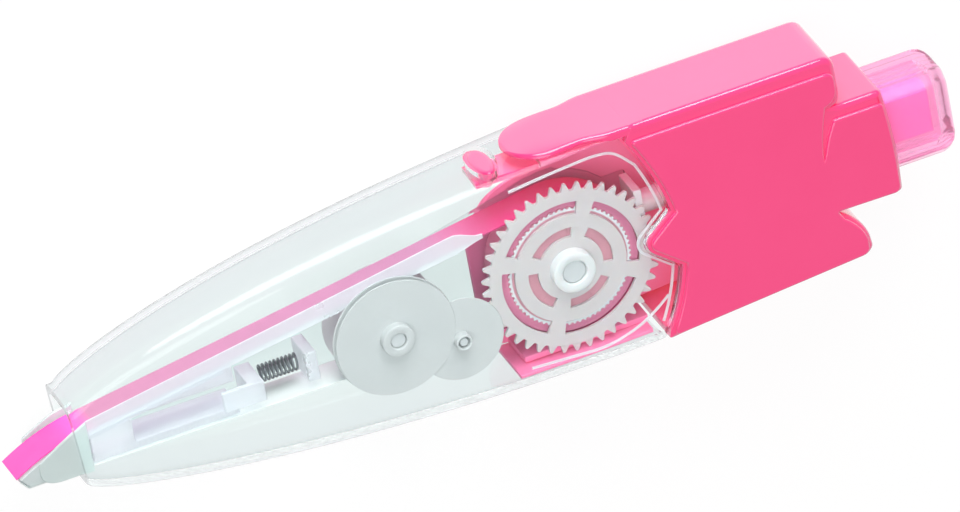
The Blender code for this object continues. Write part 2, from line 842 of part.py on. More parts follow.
# Arc from the shoulder to the tip that carries on the straight run of the tape
def head_arc(steps=8):
    start = tape_start()
    way = unit((SHOULDER[0] - start[0], SHOULDER[1] - start[1]))
    normal = (-way[1], way[0])
    step = (TIP[0] - SHOULDER[0], TIP[1] - SHOULDER[1])
    across = normal[0] * step[0] + normal[1] * step[1]
    radius = (step[0] ** 2 + step[1] ** 2) / (2 * across)
    centre = (SHOULDER[0] + normal[0] * radius, SHOULDER[1] + normal[1] * radius)
    first = math.atan2(SHOULDER[1] - centre[1], SHOULDER[0] - centre[0])
    last = math.atan2(TIP[1] - centre[1], TIP[0] - centre[0])
    return arc(centre, radius, first, last, steps)


# Under the head: from the tip round its blunt nose to the heel
def nose_line():
    centre = (TIP[0] + NOSE_BACK, TIP[1] - NOSE_DROP + NOSE_R)
    heel = (SHOULDER[0], HEEL_Y)
    start = touch(centre, NOSE_R, TIP, 1)
    end = touch(centre, NOSE_R, heel, -1)
    first = math.atan2(start[1] - centre[1], start[0] - centre[0])
    last = math.atan2(end[1] - centre[1], end[0] - centre[0])
    if last < first:
        last += 2 * math.pi
    return arc(centre, NOSE_R, first, last, 4) + [heel]


def ribbon(name, path, finish):
    half = TAPE_THICK / 2
    outline = beside(path, half) + beside(path, -half)[::-1]
    return prism(name, outline, TAPE_Z, TAPE_TOP, finish)


def tape():
    start = tape_start()
    turn = math.atan2(start[1], start[0])
    wrap = arc(SUPPLY, TAPE_R, turn - WRAP_TURN, turn, 20)
    over = head_arc()
    return ribbon("tape", wrap + over, "tape")


def liner():
    under = nose_line()
    first = under[0]
    way = unit((first[0] - TIP[0], first[1] - TIP[1]))
    start = (TIP[0] + way[0] * 2 * GAP, TIP[1] + way[1] * 2 * GAP)
    end = touch(TAKE_UP, LINER_R, under[-1], 1)
    turn = math.atan2(end[1] - TAKE_UP[1], end[0] - TAKE_UP[0])
    wrap = arc(TAKE_UP, LINER_R, turn, turn + WRAP_TURN, 16)
    return ribbon("liner", [start] + under + wrap, "liner")


def applicator_head():
    skin = TAPE_THICK / 2 + RUN_GAP
    core_line = beside(head_arc() + nose_line(), skin)
    z0 = TAPE_Z - RUN_GAP
    z1 = TAPE_TOP + RUN_GAP
    head = prism("applicator_head", core_line, z0 - CHEEK_THICK / 2, z1 + CHEEK_THICK / 2, "frosted")
    front = TIP[0] + CHEEK_BACK
    back = SHOULDER[0]
    low = HEEL_Y - CHEEK_DROP
    belly = curve((front, TIP[1]), (front, low), (front + CHEEK_BACK, low), 4)
    over = [point for point in head_arc() if point[0] > front]
    raised = [(x, y + FAR_CHEEK_RISE) for x, y in over]
    near = belly + [(back, low)] + beside(over, skin)
    far = belly + [(back, low)] + raised
    cheeks = [
        prism("near_cheek", near, z1, z1 + CHEEK_THICK, "frosted"),
        prism("far_cheek", far, z0 - CHEEK_THICK, z0, "frosted"),
    ]
    return combine(head, "UNION", cheeks)


# Cartridge

def tape_height(x):
    start = tape_start()
    return start[1] + (SHOULDER[1] - start[1]) * (x - start[0]) / (SHOULDER[0] - start[0])


def liner_height(x):
    end = touch(TAKE_UP, LINER_R, (SHOULDER[0], HEEL_Y), 1)
    return HEEL_Y + (end[1] - HEEL_Y) * (x - SHOULDER[0]) / (end[0] - SHOULDER[0])


def slot_low():
    return SPRING_Y - SEAT_HALF - GAP


def slot_high():
    return SPRING_Y + SEAT_HALF + GAP


def head_holder():
    room = TAPE_THICK / 2 + GAP
    slot = HOLDER_FRONT + HOLDER_BLOCK
    rear = HOLDER_REAR
    outline = [(HOLDER_FRONT, liner_height(HOLDER_FRONT) + room), (rear, liner_height(rear) + room)]
    outline += [(rear, slot_low()), (slot, slot_low()), (slot, slot_high()), (rear, slot_high())]
    outline += [(rear, tape_height(rear) - room), (HOLDER_FRONT, tape_height(HOLDER_FRONT) - room)]
    return prism("head_holder", outline, PLATE_TOP + GAP, TAPE_TOP, "clear")


def cartridge_plate():
    radius = -(tray_bottom() + TRAY_WALL + GAP)
    rear = bracket_front() + BRACKET_THICK
    y0 = KNOCK_Y - BRACKET_HALF
    y1 = KNOCK_Y + BRACKET_HALF
    low = math.asin(y0 / radius)
    high = math.asin(y1 / radius)
    front = HOLDER_FRONT + HOLDER_BLOCK
    neck = POST_FRONT - POST_THICK
    waist = TAKE_UP[0] - SPOOL_R
    depth = LINER_ROLL_R + RUN_GAP + POST_THICK
    below = slot_low() - HOLDER_RAIL
    outline = [(front, below), (neck, below), (waist, TAKE_UP[1] - depth)]
    outline += arc(SUPPLY, radius, -PLATE_OPEN, low, 9) + [(rear, y0), (rear, y1)]
    outline += arc(SUPPLY, radius, high, PLATE_OPEN, 6)
    outline += [(waist, TAKE_UP[1] + depth), (neck, slot_high() + HOLDER_RAIL), (front, slot_high())]
    return prism("cartridge_plate", outline, PLATE_Z, PLATE_TOP, "clear")


def spring_post():
    y0 = SPRING_Y - POST_HALF
    y1 = SPRING_Y + POST_HALF
    outline = [(POST_FRONT, y0), (POST_REAR, y0), (POST_REAR, y1), (POST_FRONT, y1)]
    return prism("spring_post", outline, PLATE_TOP + GAP, TAPE_TOP, "clear")


def spring_seat():
    front = SEAT_FRONT - SEAT_FOOT
    y0 = SPRING_Y - SEAT_HALF
    y1 = SPRING_Y + SEAT_HALF
    top = shell_middle(front) + shell_half(front) - WALL - GAP
    low = top - SEAT_FOOT_THICK
    block = [(SEAT_FRONT, y0), (SEAT_REAR, y0), (SEAT_REAR, y1), (SEAT_FRONT, y1)]
    foot = [(front, y0), (SEAT_REAR, y0), (SEAT_REAR, y1), (front, y1)]
    boss_low = TAPE_MID - SPRING_R - SPRING_WIRE
    seat = prism("spring_seat", block, boss_low, low + SEAT_FOOT_THICK / 2, "clear")
    return combine(seat, "UNION", [prism("seat_foot", foot, low, top, "clear")])


# A stepped round piece about its own axis, from pairs of radius and height
def spindle(name, steps, finish, segments=24):
    rings = [[(x, y, z) for x, y in circle(radius, segments)] for radius, z in steps]
    return loft(name, rings, finish)


# Gears

def tooth_half_angle(teeth, radius):
    pitch = pitch_radius(teeth)
    base = pitch * math.cos(PRESSURE_ANGLE)
    angle = math.acos(min(base / radius, 1.0))
    involute = math.tan(angle) - angle
    at_pitch = math.tan(PRESSURE_ANGLE) - PRESSURE_ANGLE
    return math.pi / (2 * teeth) * (1 - TOOTH_BACKLASH) + at_pitch - involute


def gear_outline(teeth, phase):
    pitch = pitch_radius(teeth)
    base = pitch * math.cos(PRESSURE_ANGLE)
    levels = [pitch - DEDENDUM, pitch, pitch + ADDENDUM]
    if base > levels[0]:
        levels.insert(1, base)
    flank = [(radius, tooth_half_angle(teeth, max(radius, base))) for radius in levels]
    points = []
    for k in range(teeth):
        middle = phase + 2 * math.pi * k / teeth
        sides = [(radius, middle - half) for radius, half in flank]
        sides += [(radius, middle + half) for radius, half in reversed(flank)]
        points += [stepped((0, 0), angle, radius) for radius, angle in sides]
    return points


# The phase that sets a gear in mesh with one it faces along a bearing
def meshed_phase(teeth, other_teeth, other_phase, bearing):
    pitch = 2 * math.pi / other_teeth
    ahead = (other_phase - bearing) % pitch
    return bearing + math.pi - ahead * other_teeth / teeth + math.pi / teeth


def supply_phase():
    return IDLER_BEARING


def idler_phase():
    return meshed_phase(IDLER_TEETH, SUPPLY_TEETH, supply_phase(), IDLER_BEARING)


def take_up_phase():
    return meshed_phase(TAKE_UP_TEETH, IDLER_TEETH, idler_phase(), TAKE_UP_BEARING)


def toothed(name, teeth, phase, hub_r, hub_low, bore_r, finish):
    gear = prism(name, gear_outline(teeth, phase), GEAR_Z, GEAR_TOP, finish)
    hub = prism("hub", circle(hub_r), hub_low, HUB_TOP, finish)
    gear = combine(gear, "UNION", [hub])
    bore = prism("bore", circle(bore_r), PLATE_Z, THICKNESS, finish)
    return combine(gear, "DIFFERENCE", [bore])


def slot(inner, outer, start, end):
    outline = arc((0, 0), outer, start, end, 7) + arc((0, 0), inner, end, start, 7)
    return prism("slot", outline, GEAR_Z - GAP, GEAR_TOP + GAP, "white")


def supply_gear():
    low = PLATE_TOP + GAP
    bore = SUPPLY_AXLE_R + RUN_GAP
    gear = toothed("supply_gear", SUPPLY_TEETH, supply_phase(), SUPPLY_HUB_R, low, bore, "white")
    slots = []
    for k in range(SPOKES):
        middle = SPOKE_BEARING + 2 * math.pi * k / SPOKES
        for inner, outer in (SLOT_INNER, SLOT_OUTER):
            half = SPOKE_WIDTH / (inner + outer)
            slots.append(slot(inner, outer, middle + half, middle + 2 * math.pi / SPOKES - half))
    return combine(gear, "DIFFERENCE", slots)


def clutch_washer():
    points = []
    for k in range(WASHER_TEETH):
        turn = 2 * math.pi * k / WASHER_TEETH
        points.append(stepped((0, 0), turn, WASHER_R))
        points.append(stepped((0, 0), turn + math.pi / WASHER_TEETH, WASHER_R - WASHER_TOOTH))
    washer = prism("clutch_washer", points, DISC_Z, DISC_Z + DISC_THICK, "frosted")
    bore = prism("bore", circle(SUPPLY_HUB_R + RUN_GAP), DISC_Z - GAP, GEAR_TOP, "frosted")
    return combine(washer, "DIFFERENCE", [bore])


def take_up_spool():
    bore = TAKE_UP_HUB_R + RUN_GAP
    disc_top = DISC_Z + DISC_THICK
    profile = [(bore, TAPE_Z), (SPOOL_R, TAPE_Z), (SPOOL_R, DISC_Z), (TAKE_UP_DISC_R, DISC_Z)]
    profile += [(TAKE_UP_DISC_R, disc_top), (bore, disc_top)]
    return turned("take_up_spool", profile, "frosted", 40)


# Spring: one wire with straight ends, wound along X

def spring_points():
    count = SPRING_TURNS * SPRING_STEPS
    first = SPRING_FRONT + SPRING_WIRE
    rise = SPRING_LENGTH - 2 * SPRING_WIRE
    points = [(SPRING_FRONT, 0.0)]
    for k in range(count + 1):
        points.append((first + rise * k / count, 2 * math.pi * k / SPRING_STEPS))
    points.append((SPRING_REAR, 2 * math.pi * SPRING_TURNS))
    place = []
    for x, turn in points:
        place.append((x, SPRING_Y + SPRING_R * math.sin(turn), TAPE_MID + SPRING_R * math.cos(turn)))
    return place


def least_gap(points, apart, thickness):
    least = min(
        math.dist(points[i], points[j])
        for i in range(len(points))
        for j in range(i + apart, len(points))
    )
    return least - thickness


def return_spring():
    points = spring_points()
    wire = bpy.data.curves.new("return_spring", "CURVE")
    wire.dimensions = "3D"
    wire.bevel_depth = SPRING_WIRE / 2 * MM
    wire.bevel_resolution = 1
    wire.use_fill_caps = True
    run = wire.splines.new("POLY")
    run.points.add(len(points) - 1)
    for spot, place in zip(run.points, points):
        spot.co = (*(Vector(place) * MM), 1)
    wire.materials.append(make_material("return_spring", "steel"))
    spring = bpy.data.objects.new("return_spring", wire)
    bpy.context.scene.collection.objects.link(spring)
    print("spring gap in mm:", round(least_gap(points, SPRING_STEPS // 2 + 1, SPRING_WIRE), 3))
    return spring


def main():
    for old in list(bpy.data.objects):
        bpy.data.objects.remove(old)
    root = holder_empty("highlighter_tape", (0, 0))
    cartridge = holder_empty("cartridge", (0, 0), root)
    knock = holder_empty("knock", (0, 0), root)

    for part in (front_shell(), rear_case(), chassis(), knock_guide(), spring_seat(), return_spring()):
        put(part, root)
    put(release_tab(), root)
    for part in (cartridge_plate(), head_holder(), applicator_head(), spring_post(), push_rod()):
        put(part, cartridge)
    for part in (tape(), liner()):
        put(part, cartridge)
    for part in (knock_cap(), knock_core(), cam_rotor()):
        put(part, knock)

    floor = PLATE_TOP + GAP
    peak = HUB_TOP - GAP
    supply_axle = spindle("supply_axle", [(SUPPLY_AXLE_R, floor), (SUPPLY_AXLE_R, peak)], "grey")
    take_up_axle = spindle("take_up_axle", [(TAKE_UP_AXLE_R, floor), (TAKE_UP_AXLE_R, peak)], "grey")
    boss = [(IDLER_BOSS_R, floor), (IDLER_BOSS_R, TAPE_TOP), (IDLER_PIN_R, TAPE_TOP), (IDLER_PIN_R, peak)]
    idler_axle = spindle("idler_axle", boss, "grey")
    put(supply_axle, cartridge, SUPPLY)
    put(take_up_axle, cartridge, TAKE_UP)
    put(idler_axle, cartridge, IDLER)

    put(supply_gear(), cartridge, SUPPLY)
    inner = SUPPLY_HUB_R + RUN_GAP
    put(ring("supply_drum", inner, DRUM_R, TAPE_Z, TAPE_TOP, "frosted"), cartridge, SUPPLY)
    put(ring("tape_roll", DRUM_R + RUN_GAP, ROLL_R, TAPE_Z, TAPE_TOP, "tape"), cartridge, SUPPLY)
    put(clutch_washer(), cartridge, SUPPLY)

    bore = IDLER_PIN_R + RUN_GAP
    idler = toothed("idler_gear", IDLER_TEETH, idler_phase(), IDLER_HUB_R, GEAR_Z + GAP, bore, "frosted")
    put(idler, cartridge, IDLER)

    bore = TAKE_UP_AXLE_R + RUN_GAP
    gear = toothed("take_up_gear", TAKE_UP_TEETH, take_up_phase(), TAKE_UP_HUB_R, floor, bore, "frosted")
    put(gear, cartridge, TAKE_UP)
    put(take_up_spool(), cartridge, TAKE_UP)
    inner = SPOOL_R + RUN_GAP
    put(ring("liner_roll", inner, LINER_ROLL_R, TAPE_Z, TAPE_TOP, "liner"), cartridge, TAKE_UP)

    # The origin goes to the middle of the base
    bpy.context.view_layer.update()
    corners = []
    for part in bpy.data.objects:
        if part.type == "MESH":
            corners += [part.matrix_world @ vertex.co for vertex in part.data.vertices]
    middle = [(min(c[k] for c in corners) + max(c[k] for c in corners)) / 2 for k in range(2)]
    root.location = (-middle[0], -middle[1], -min(c[2] for c in corners))
    print("supply axis in the part's frame, mm:", [round(-m / MM, 4) for m in middle])


main()
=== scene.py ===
import json
from math import acos, atan2, copysign, cos, dist, hypot, pi, radians, sin, sqrt

import bmesh
import bpy
from mathutils import Matrix, Vector


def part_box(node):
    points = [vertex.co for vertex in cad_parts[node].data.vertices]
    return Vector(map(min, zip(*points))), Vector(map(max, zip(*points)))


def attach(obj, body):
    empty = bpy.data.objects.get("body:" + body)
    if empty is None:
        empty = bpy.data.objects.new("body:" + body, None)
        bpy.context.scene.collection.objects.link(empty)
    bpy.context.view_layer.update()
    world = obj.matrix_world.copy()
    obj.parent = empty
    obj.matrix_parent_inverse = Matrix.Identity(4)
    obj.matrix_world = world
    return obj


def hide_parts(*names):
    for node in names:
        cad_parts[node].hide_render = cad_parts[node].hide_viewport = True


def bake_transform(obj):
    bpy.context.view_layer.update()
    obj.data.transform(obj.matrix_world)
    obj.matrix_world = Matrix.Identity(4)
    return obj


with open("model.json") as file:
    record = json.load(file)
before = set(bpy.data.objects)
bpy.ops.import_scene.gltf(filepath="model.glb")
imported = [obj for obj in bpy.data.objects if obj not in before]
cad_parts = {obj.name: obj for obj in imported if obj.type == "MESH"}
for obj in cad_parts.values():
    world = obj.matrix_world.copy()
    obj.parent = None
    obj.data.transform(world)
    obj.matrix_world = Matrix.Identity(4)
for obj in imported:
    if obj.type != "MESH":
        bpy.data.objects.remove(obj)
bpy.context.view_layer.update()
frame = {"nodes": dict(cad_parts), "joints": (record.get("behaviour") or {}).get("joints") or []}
print("frame loaded with", len(frame["nodes"]), "nodes")

# Sizes below are millimetres about the supply reel's axis, as the joints give it:
# X from tip to knob, Y from keel to back, Z from the far side to the near side
joints = {entry["name"]: entry for entry in frame["joints"]}
origin = Vector(joints["supply_spin"]["pos_m"]) * 1000
origin.z = 0


def axisOf(jointName):
    spot = Vector(joints[jointName]["pos_m"]) * 1000 - origin
    return (spot.x, spot.y)


def reachOf(node):
    low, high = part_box(node)
    return low * 1000 - origin, high * 1000 - origin


def toPart(point):
    return (Vector(point) + origin) / 1000


supplyAxis = (0.0, 0.0)
idlerAxis = axisOf("idler_spin")
takeUpAxis = axisOf("take_up_spin")


def added(name, data):
    thing = bpy.data.objects.new(name, data)
    bpy.context.scene.collection.objects.link(thing)
    return thing


# Camera, from the photo: a long lens far away, so that edges stay nearly parallel
view = {
    "spot": (-578.18, 1229.28, 1999.32), "right": (0.91762, -0.16364, 0.36221),
    "down": (-0.31982, -0.84508, 0.42843), "sensor": 36.0, "lens": 750.0, "clip": (0.1, 10.0),
}


def addCamera():
    lens = bpy.data.cameras.new("camera")
    lens.sensor_width = view["sensor"]
    lens.lens = view["lens"]
    lens.clip_start, lens.clip_end = view["clip"]
    eye = added("camera", lens)
    right = Vector(view["right"]).normalized()
    up = -Vector(view["down"]).normalized()
    turn = Matrix((right, up, right.cross(up))).transposed()
    eye.matrix_world = Matrix.Translation(toPart(view["spot"])) @ turn.to_4x4()
    bpy.context.scene.camera = eye


addCamera()
print("camera set")


# Materials

def hexColour(code):
    channels = [int(code[k:k + 2], 16) / 255 for k in (1, 3, 5)]
    linear = [c / 12.92 if c <= 0.04045 else ((c + 0.055) / 1.055) ** 2.4 for c in channels]
    return (*linear, 1.0)


# Adds a node; each link is a socket, a node that gives its first output, or a plain value
def addNode(tree, kind, links=None, **settings):
    node = tree.nodes.new(kind)
    for name, value in settings.items():
        setattr(node, name, value)
    for name, value in (links or {}).items():
        if isinstance(value, bpy.types.Node):
            value = value.outputs[0]
        if isinstance(value, bpy.types.NodeSocket):
            tree.links.new(value, node.inputs[name])
        else:
            node.inputs[name].default_value = value
    return node


# A material with a look's numbers on its shader, where a key is the name of a socket
def newMaterial(name, look):
    material = bpy.data.materials.new(name)
    material.use_nodes = True
    tree = material.node_tree
    shader = tree.nodes["Principled BSDF"]
    for key, value in look.items():
        if key in shader.inputs:
            shader.inputs[key].default_value = value
    return material, tree, shader


# A thin or milky surface lets light through to what it covers, and light that is caught in
# a clear wall leaves it after some turns
def letThrough(tree, shader, code, turns):
    rays = addNode(tree, "ShaderNodeLightPath").outputs
    late = addNode(tree, "ShaderNodeMath", {0: rays["Ray Depth"], 1: turns}, operation="GREATER_THAN")
    share = addNode(tree, "ShaderNodeMath", {0: rays["Is Shadow Ray"], 1: late}, operation="MAXIMUM")
    passing = addNode(tree, "ShaderNodeBsdfTransparent", {"Color": hexColour(code)})
    both = addNode(tree, "ShaderNodeMixShader", {0: share, 1: shader, 2: passing})
    tree.links.new(both.outputs["Shader"], tree.nodes["Material Output"].inputs["Surface"])


# Colours that follow each other along X, laid over a tint from the first of them on
def zoned(tree, place, tint, zones):
    along = addNode(tree, "ShaderNodeSeparateXYZ", {0: place})
    places = [toPart((x, 0, 0)).x for x, code in zones]
    first, last = places[0], places[-1]
    share = addNode(tree, "ShaderNodeMapRange", {
        "Value": along.outputs["X"], "From Min": first, "From Max": last})
    ramp = addNode(tree, "ShaderNodeValToRGB", {"Fac": share})
    stops = ramp.color_ramp.elements
    for x in places[1:-1]:
        stops.new((x - first) / (last - first))
    for k, (x, code) in enumerate(zones):
        stops[k].color = (*hexColour(code)[:3], min(k, 1))
    return addNode(tree, "ShaderNodeMix", {
        "Factor": ramp.outputs["Alpha"], 6: tint.outputs[2], 7: ramp}, data_type="RGBA")


# One rule for every surface: a pattern runs between two colours and two glosses, and a relief
# lies on it, each layer a size and a depth. Smudge, rings and relief are in millimetres; a
# relief without a size follows the pattern, and a wave of scale 1 has 20 rings to the metre.
def surface(name, look):
    look = {"spread": (0.0, 1.0), "easing": "LINEAR", "detail": 4.0, "blotch": 0.5, "turns": 100.0, **look}
    material, tree, shader = newMaterial(name, look)
    place = addNode(tree, "ShaderNodeTexCoord").outputs["Object"]
    if "rings" in look:
        moved = addNode(tree, "ShaderNodeMapping", {
            "Vector": place, "Location": -toPart((*look["axis"], 0.0))})
        pattern = addNode(tree, "ShaderNodeTexWave", {
            "Vector": moved, "Scale": 1000 / look["rings"] / 20, "Distortion": 0.6, "Detail": 2.0},
            wave_type="RINGS", rings_direction="Z").outputs["Fac"]
    else:
        pattern = addNode(tree, "ShaderNodeTexNoise", {
            "Vector": place, "Scale": 1000 / look["smudge"], "Detail": look["detail"],
            "Roughness": look["blotch"]})
    gloss = addNode(tree, "ShaderNodeMapRange", {
        "Value": pattern, "From Min": look["spread"][0], "From Max": look["spread"][1],
        "To Min": look["roughness"][0], "To Max": look["roughness"][1]}, interpolation_type=look["easing"])
    tree.links.new(gloss.outputs["Result"], shader.inputs["Roughness"])
    under = {}
    for size, depth in look["relief"]:
        height = pattern
        if size:
            height = addNode(tree, "ShaderNodeTexNoise", {
                "Vector": place, "Scale": 1000 / size, "Detail": 2.0})
        bump = addNode(tree, "ShaderNodeBump", {
            "Height": height, "Strength": 1.0, "Distance": depth / 1000, **under})
        under = {"Normal": bump}
    tree.links.new(bump.outputs["Normal"], shader.inputs["Normal"])
    colour, shade = look["colours"]
    tint = addNode(tree, "ShaderNodeMix", {
        "Factor": pattern, 6: hexColour(colour), 7: hexColour(shade)}, data_type="RGBA")
    # Painted light and shade: a tint laid on where the surface turns away from view, a paler sheen on pink
    # plastics and grey edges on clear ones
    for code, first, last, share in look.get("turning", ()):  # tints where the surface turns away
        away = addNode(tree, "ShaderNodeLayerWeight", {"Blend": 0.5})
        turn = addNode(tree, "ShaderNodeMapRange", {
            "Value": away.outputs["Facing"], "From Min": first, "From Max": last, "To Max": share})
        tint = addNode(tree, "ShaderNodeMix", {
            "Factor": turn, 6: tint.outputs[2], 7: hexColour(code)}, data_type="RGBA")
    if "zones" in look:
        tint = zoned(tree, place, tint, look["zones"])
    tree.links.new(tint.outputs[2], shader.inputs["Base Color"])
    if "shadow" in look:
        letThrough(tree, shader, look["shadow"], look["turns"])
    return material


# Moulded plastic: a slow ripple from the melt's flow, a finer tool grain, and gloss that
# varies with handling
moulded = {
    "Coat Roughness": 0.06, "Subsurface Scale": 0.001,
    "blotch": 0.6, "spread": (0.2, 0.8), "easing": "SMOOTHSTEP"}

# Clear polystyrene from a polished tool: water clear, with painted grey where the wall turns away from view,
# standing in for the dark edges that refraction gives
clearStyrene = surface("clear polystyrene", {
    **moulded, "colours": ("#F6FBFA", "#F3F9F9"), "shadow": "#FAFCFC", "turns": 4.5,
    "IOR": 1.15, "Transmission Weight": 1.0, "Coat Weight": 0.35, "roughness": (0.01, 0.04),
    "turning": (("#EEF1F3", 0.2, 0.55, 1.0), ("#6C7477", 0.55, 0.95, 1.0)),
    "smudge": 9.0, "relief": ((14.0, 0.004), (3.0, 0.0003))})

# Clouded polystyrene: the cartridge's mouldings, milky with soft bright edges
cloudedStyrene = surface("clouded polystyrene", {
    **moulded, "colours": ("#EEF0F3", "#E7EAEE"), "shadow": "#F2F4F6",
    "IOR": 1.2, "Transmission Weight": 0.62, "roughness": (0.25, 0.4),
    "smudge": 6.0, "relief": ((5.0, 0.01), (0.5, 0.001))})

# Pink ABS, glossy: one strong colour with a painted paler pink where the surface turns away, standing in for
# the brighter light on its top; soft window reflections, faint sink ripples
pinkAbs = surface("pink ABS", {
    **moulded, "colours": ("#F9277C", "#F22075"), "shadow": "#F2B4CE",
    "IOR": 1.5, "Coat Weight": 1.0, "roughness": (0.14, 0.22), "turning": (("#FFC0DC", 0.2, 0.55, 0.24),),
    "smudge": 12.0, "relief": ((9.0, 0.02), (0.5, 0.001))})

# The tray inside is the same ABS, left matt by its tool, painted a paler pink than the case to stand in for
# the light and whitish haze it shows inside the shell
trayAbs = surface("tray ABS", {
    **moulded, "colours": ("#F982B0", "#F278A8"), "shadow": "#ECB0C8", "IOR": 1.5,
    "roughness": (0.35, 0.5), "smudge": 6.0, "relief": ((5.0, 0.01), (0.3, 0.002))})

# Frosted polypropylene: milky, greenish grey, dull from its grained tool
frosted = {
    **moulded, "colours": ("#D6E1DF", "#CDD9D8"), "shadow": "#B8C4C4", "IOR": 1.49,
    "Transmission Weight": 0.25, "roughness": (0.4, 0.55),
    "smudge": 4.0, "relief": ((3.0, 0.01), (0.25, 0.003))}
frostedPolypropylene = surface("frosted polypropylene", frosted)

# The reels' share of it is greyer
reelPolypropylene = surface("reel polypropylene", {
    **frosted, "colours": ("#D0D1D2", "#C8CACB"), "shadow": "#C8D0D0", "Transmission Weight": 0.2})

# The same, painted a dusty pink where it carries the roll: the roll's pink light coming through it and the
# shade under the gear
paintedPinkPolypropylene = surface("polypropylene painted pink", {
    **frosted, "colours": ("#D79AA8", "#CB8A9A"), "shadow": "#D8A8B4", "Transmission Weight": 0.15,
    "smudge": 2.5})

# White acetal: the gear's slippery plastic, silky and slightly grey
acetal = {
    **moulded, "colours": ("#DADBDC", "#D2D3D5"), "shadow": "#D6DADC", "IOR": 1.48,
    "Subsurface Weight": 0.15, "roughness": (0.3, 0.42),
    "smudge": 4.0, "relief": ((3.0, 0.008), (0.25, 0.002))}
whiteAcetal = surface("white acetal", acetal)

# The gear's toothed plate is a little greyer
plateAcetal = surface("gear acetal", {**acetal, "colours": ("#C7C1C2", "#BFB9BB")})

# The pins are the same plastic in grey, and let no light through
greyAcetal = surface("grey acetal", {
    **moulded, "colours": ("#C6C8CA", "#BEC0C3"), "IOR": 1.48,
    "roughness": (0.3, 0.42), "smudge": 3.0, "relief": ((2.0, 0.008), (0.2, 0.002))})

# Tinted polystyrene of the knob: pale pink glass with bright cut edges
knobStyrene = surface("tinted polystyrene", {
    **moulded, "colours": ("#FFC6E6", "#FFBCE0"), "shadow": "#FFD8EE",
    "IOR": 1.25, "Transmission Weight": 0.82, "Coat Weight": 0.6, "roughness": (0.04, 0.1),
    "smudge": 5.0, "relief": ((6.0, 0.02), (0.6, 0.0004))})

# The knob's core: a deeper magenta polystyrene that shows through its cap, with a painted paler pink sheen
# where it turns away from view
coreStyrene = surface("magenta polystyrene", {
    **moulded, "colours": ("#F060CC", "#EA54C4"), "IOR": 1.5, "turning": (("#FF9AD8", 0.2, 0.55, 0.5),),
    "roughness": (0.15, 0.25), "smudge": 4.0, "relief": ((4.0, 0.01), (0.4, 0.001))})

# Coated tape film: a smooth fluorescent layer with fine cross ripples from winding. Its colour zones are
# painted light and shade: greyer and paler inside the shell, where it is seen through the shell's wall, and
# a deeper pink where it winds into shade on the reel
coated = {"IOR": 1.48, "roughness": (0.3, 0.5), "smudge": 2.5, "relief": ((0.6, 0.004),)}
markerFilm = surface("marker film", {
    **coated, "colours": ("#FF58B4", "#F94CAA"), "shadow": "#F8E4EE",
    "zones": ((-64.5, "#FF58B4"), (-61.5, "#BA7496"), (-16.0, "#B06E92"), (-7.0, "#D01E72"))})

# The liner is the bare film, slightly grey
linerFilm = surface("silicone liner", {**coated, "colours": ("#E9ECEA", "#DFE4E2"), "shadow": "#F2F4F3"})

# Wound film seen from its edge: rings of layers, drawn 0.3 mm apart because the real
# ones, 0.05 mm, are too fine to show
wound = {"IOR": 1.48, "roughness": (0.35, 0.55), "rings": 0.3, "relief": ((None, 0.03),)}
# The tape's rings are a dusty pink, darker than its film: painted shade on the roll's face under the gear
shadedWoundTape = surface("wound marker film", {**wound, "colours": ("#DE8AA8", "#C66E90"), "axis": supplyAxis})
woundLiner = surface("wound liner", {**wound, "colours": ("#E6EAE8", "#CFD6D4"), "axis": takeUpAxis})

# Spring steel wire, drawn: dark and bright with fine streaks
wireSteel = surface("spring steel", {
    "Metallic": 1.0, "colours": ("#8A8F94", "#6E7378"), "roughness": (0.22, 0.4),
    "smudge": 0.25, "detail": 3.0, "relief": ((None, 0.004),)})
print("materials made")


# Mesh helpers

creaseAngle = 38
roundSteps = 128


def smooth(mesh, angle=creaseAngle):
    mesh.shade_smooth()
    mesh.set_sharp_from_angle(angle=radians(angle))
    for face in mesh.polygons:  # flat ends stay flat
        face.use_smooth = len(face.vertices) < 9


def pieceOf(name, bm, material, angle=creaseAngle):
    mesh = bpy.data.meshes.new(name)
    bm.to_mesh(mesh)
    bm.free()
    smooth(mesh, angle)
    mesh.materials.append(material)
    return added(name, mesh)


# Joins rings of points into a skin, capped at its ends or closed into a loop
def loft(name, rings, material=None, closed=False, angle=creaseAngle):
    bm = bmesh.new()
    rows = [[bm.verts.new(toPart(point)) for point in ring] for ring in rings]
    count = len(rows[0])
    pairs = list(zip(rows, rows[1:]))
    if closed:
        pairs.append((rows[-1], rows[0]))
    for low, high in pairs:
        for k in range(count):
            following = (k + 1) % count
            bm.faces.new((low[k], low[following], high[following], high[k]))
    if not closed:
        bm.faces.new(rows[0])
        bm.faces.new(rows[-1])
    bmesh.ops.recalc_face_normals(bm, faces=bm.faces)
    return pieceOf(name, bm, material, angle)


def applied(piece):
    bpy.context.view_layer.update()
    graph = bpy.context.evaluated_depsgraph_get()
    mesh = bpy.data.meshes.new_from_object(piece.evaluated_get(graph))
    piece.modifiers.clear()
    piece.data = mesh
    return piece


def cut(target, tools):
    for tool in tools:
        step = target.modifiers.new(tool.name, "BOOLEAN")
        step.operation = "DIFFERENCE"
        step.solver = "EXACT"
        step.object = tool
    applied(target)
    for tool in tools:
        bpy.data.objects.remove(tool)
    smooth(target.data)
    return target


def joined(name, pieces, material):
    bm = bmesh.new()
    for piece in pieces:
        bm.from_mesh(piece.data)
        bpy.data.objects.remove(piece)
    return pieceOf(name, bm, material)


# Leaves flat faces flat beside rounded edges
def levelled(piece):
    level = piece.modifiers.new("normals", "WEIGHTED_NORMAL")
    level.keep_sharp = True
    return applied(piece)


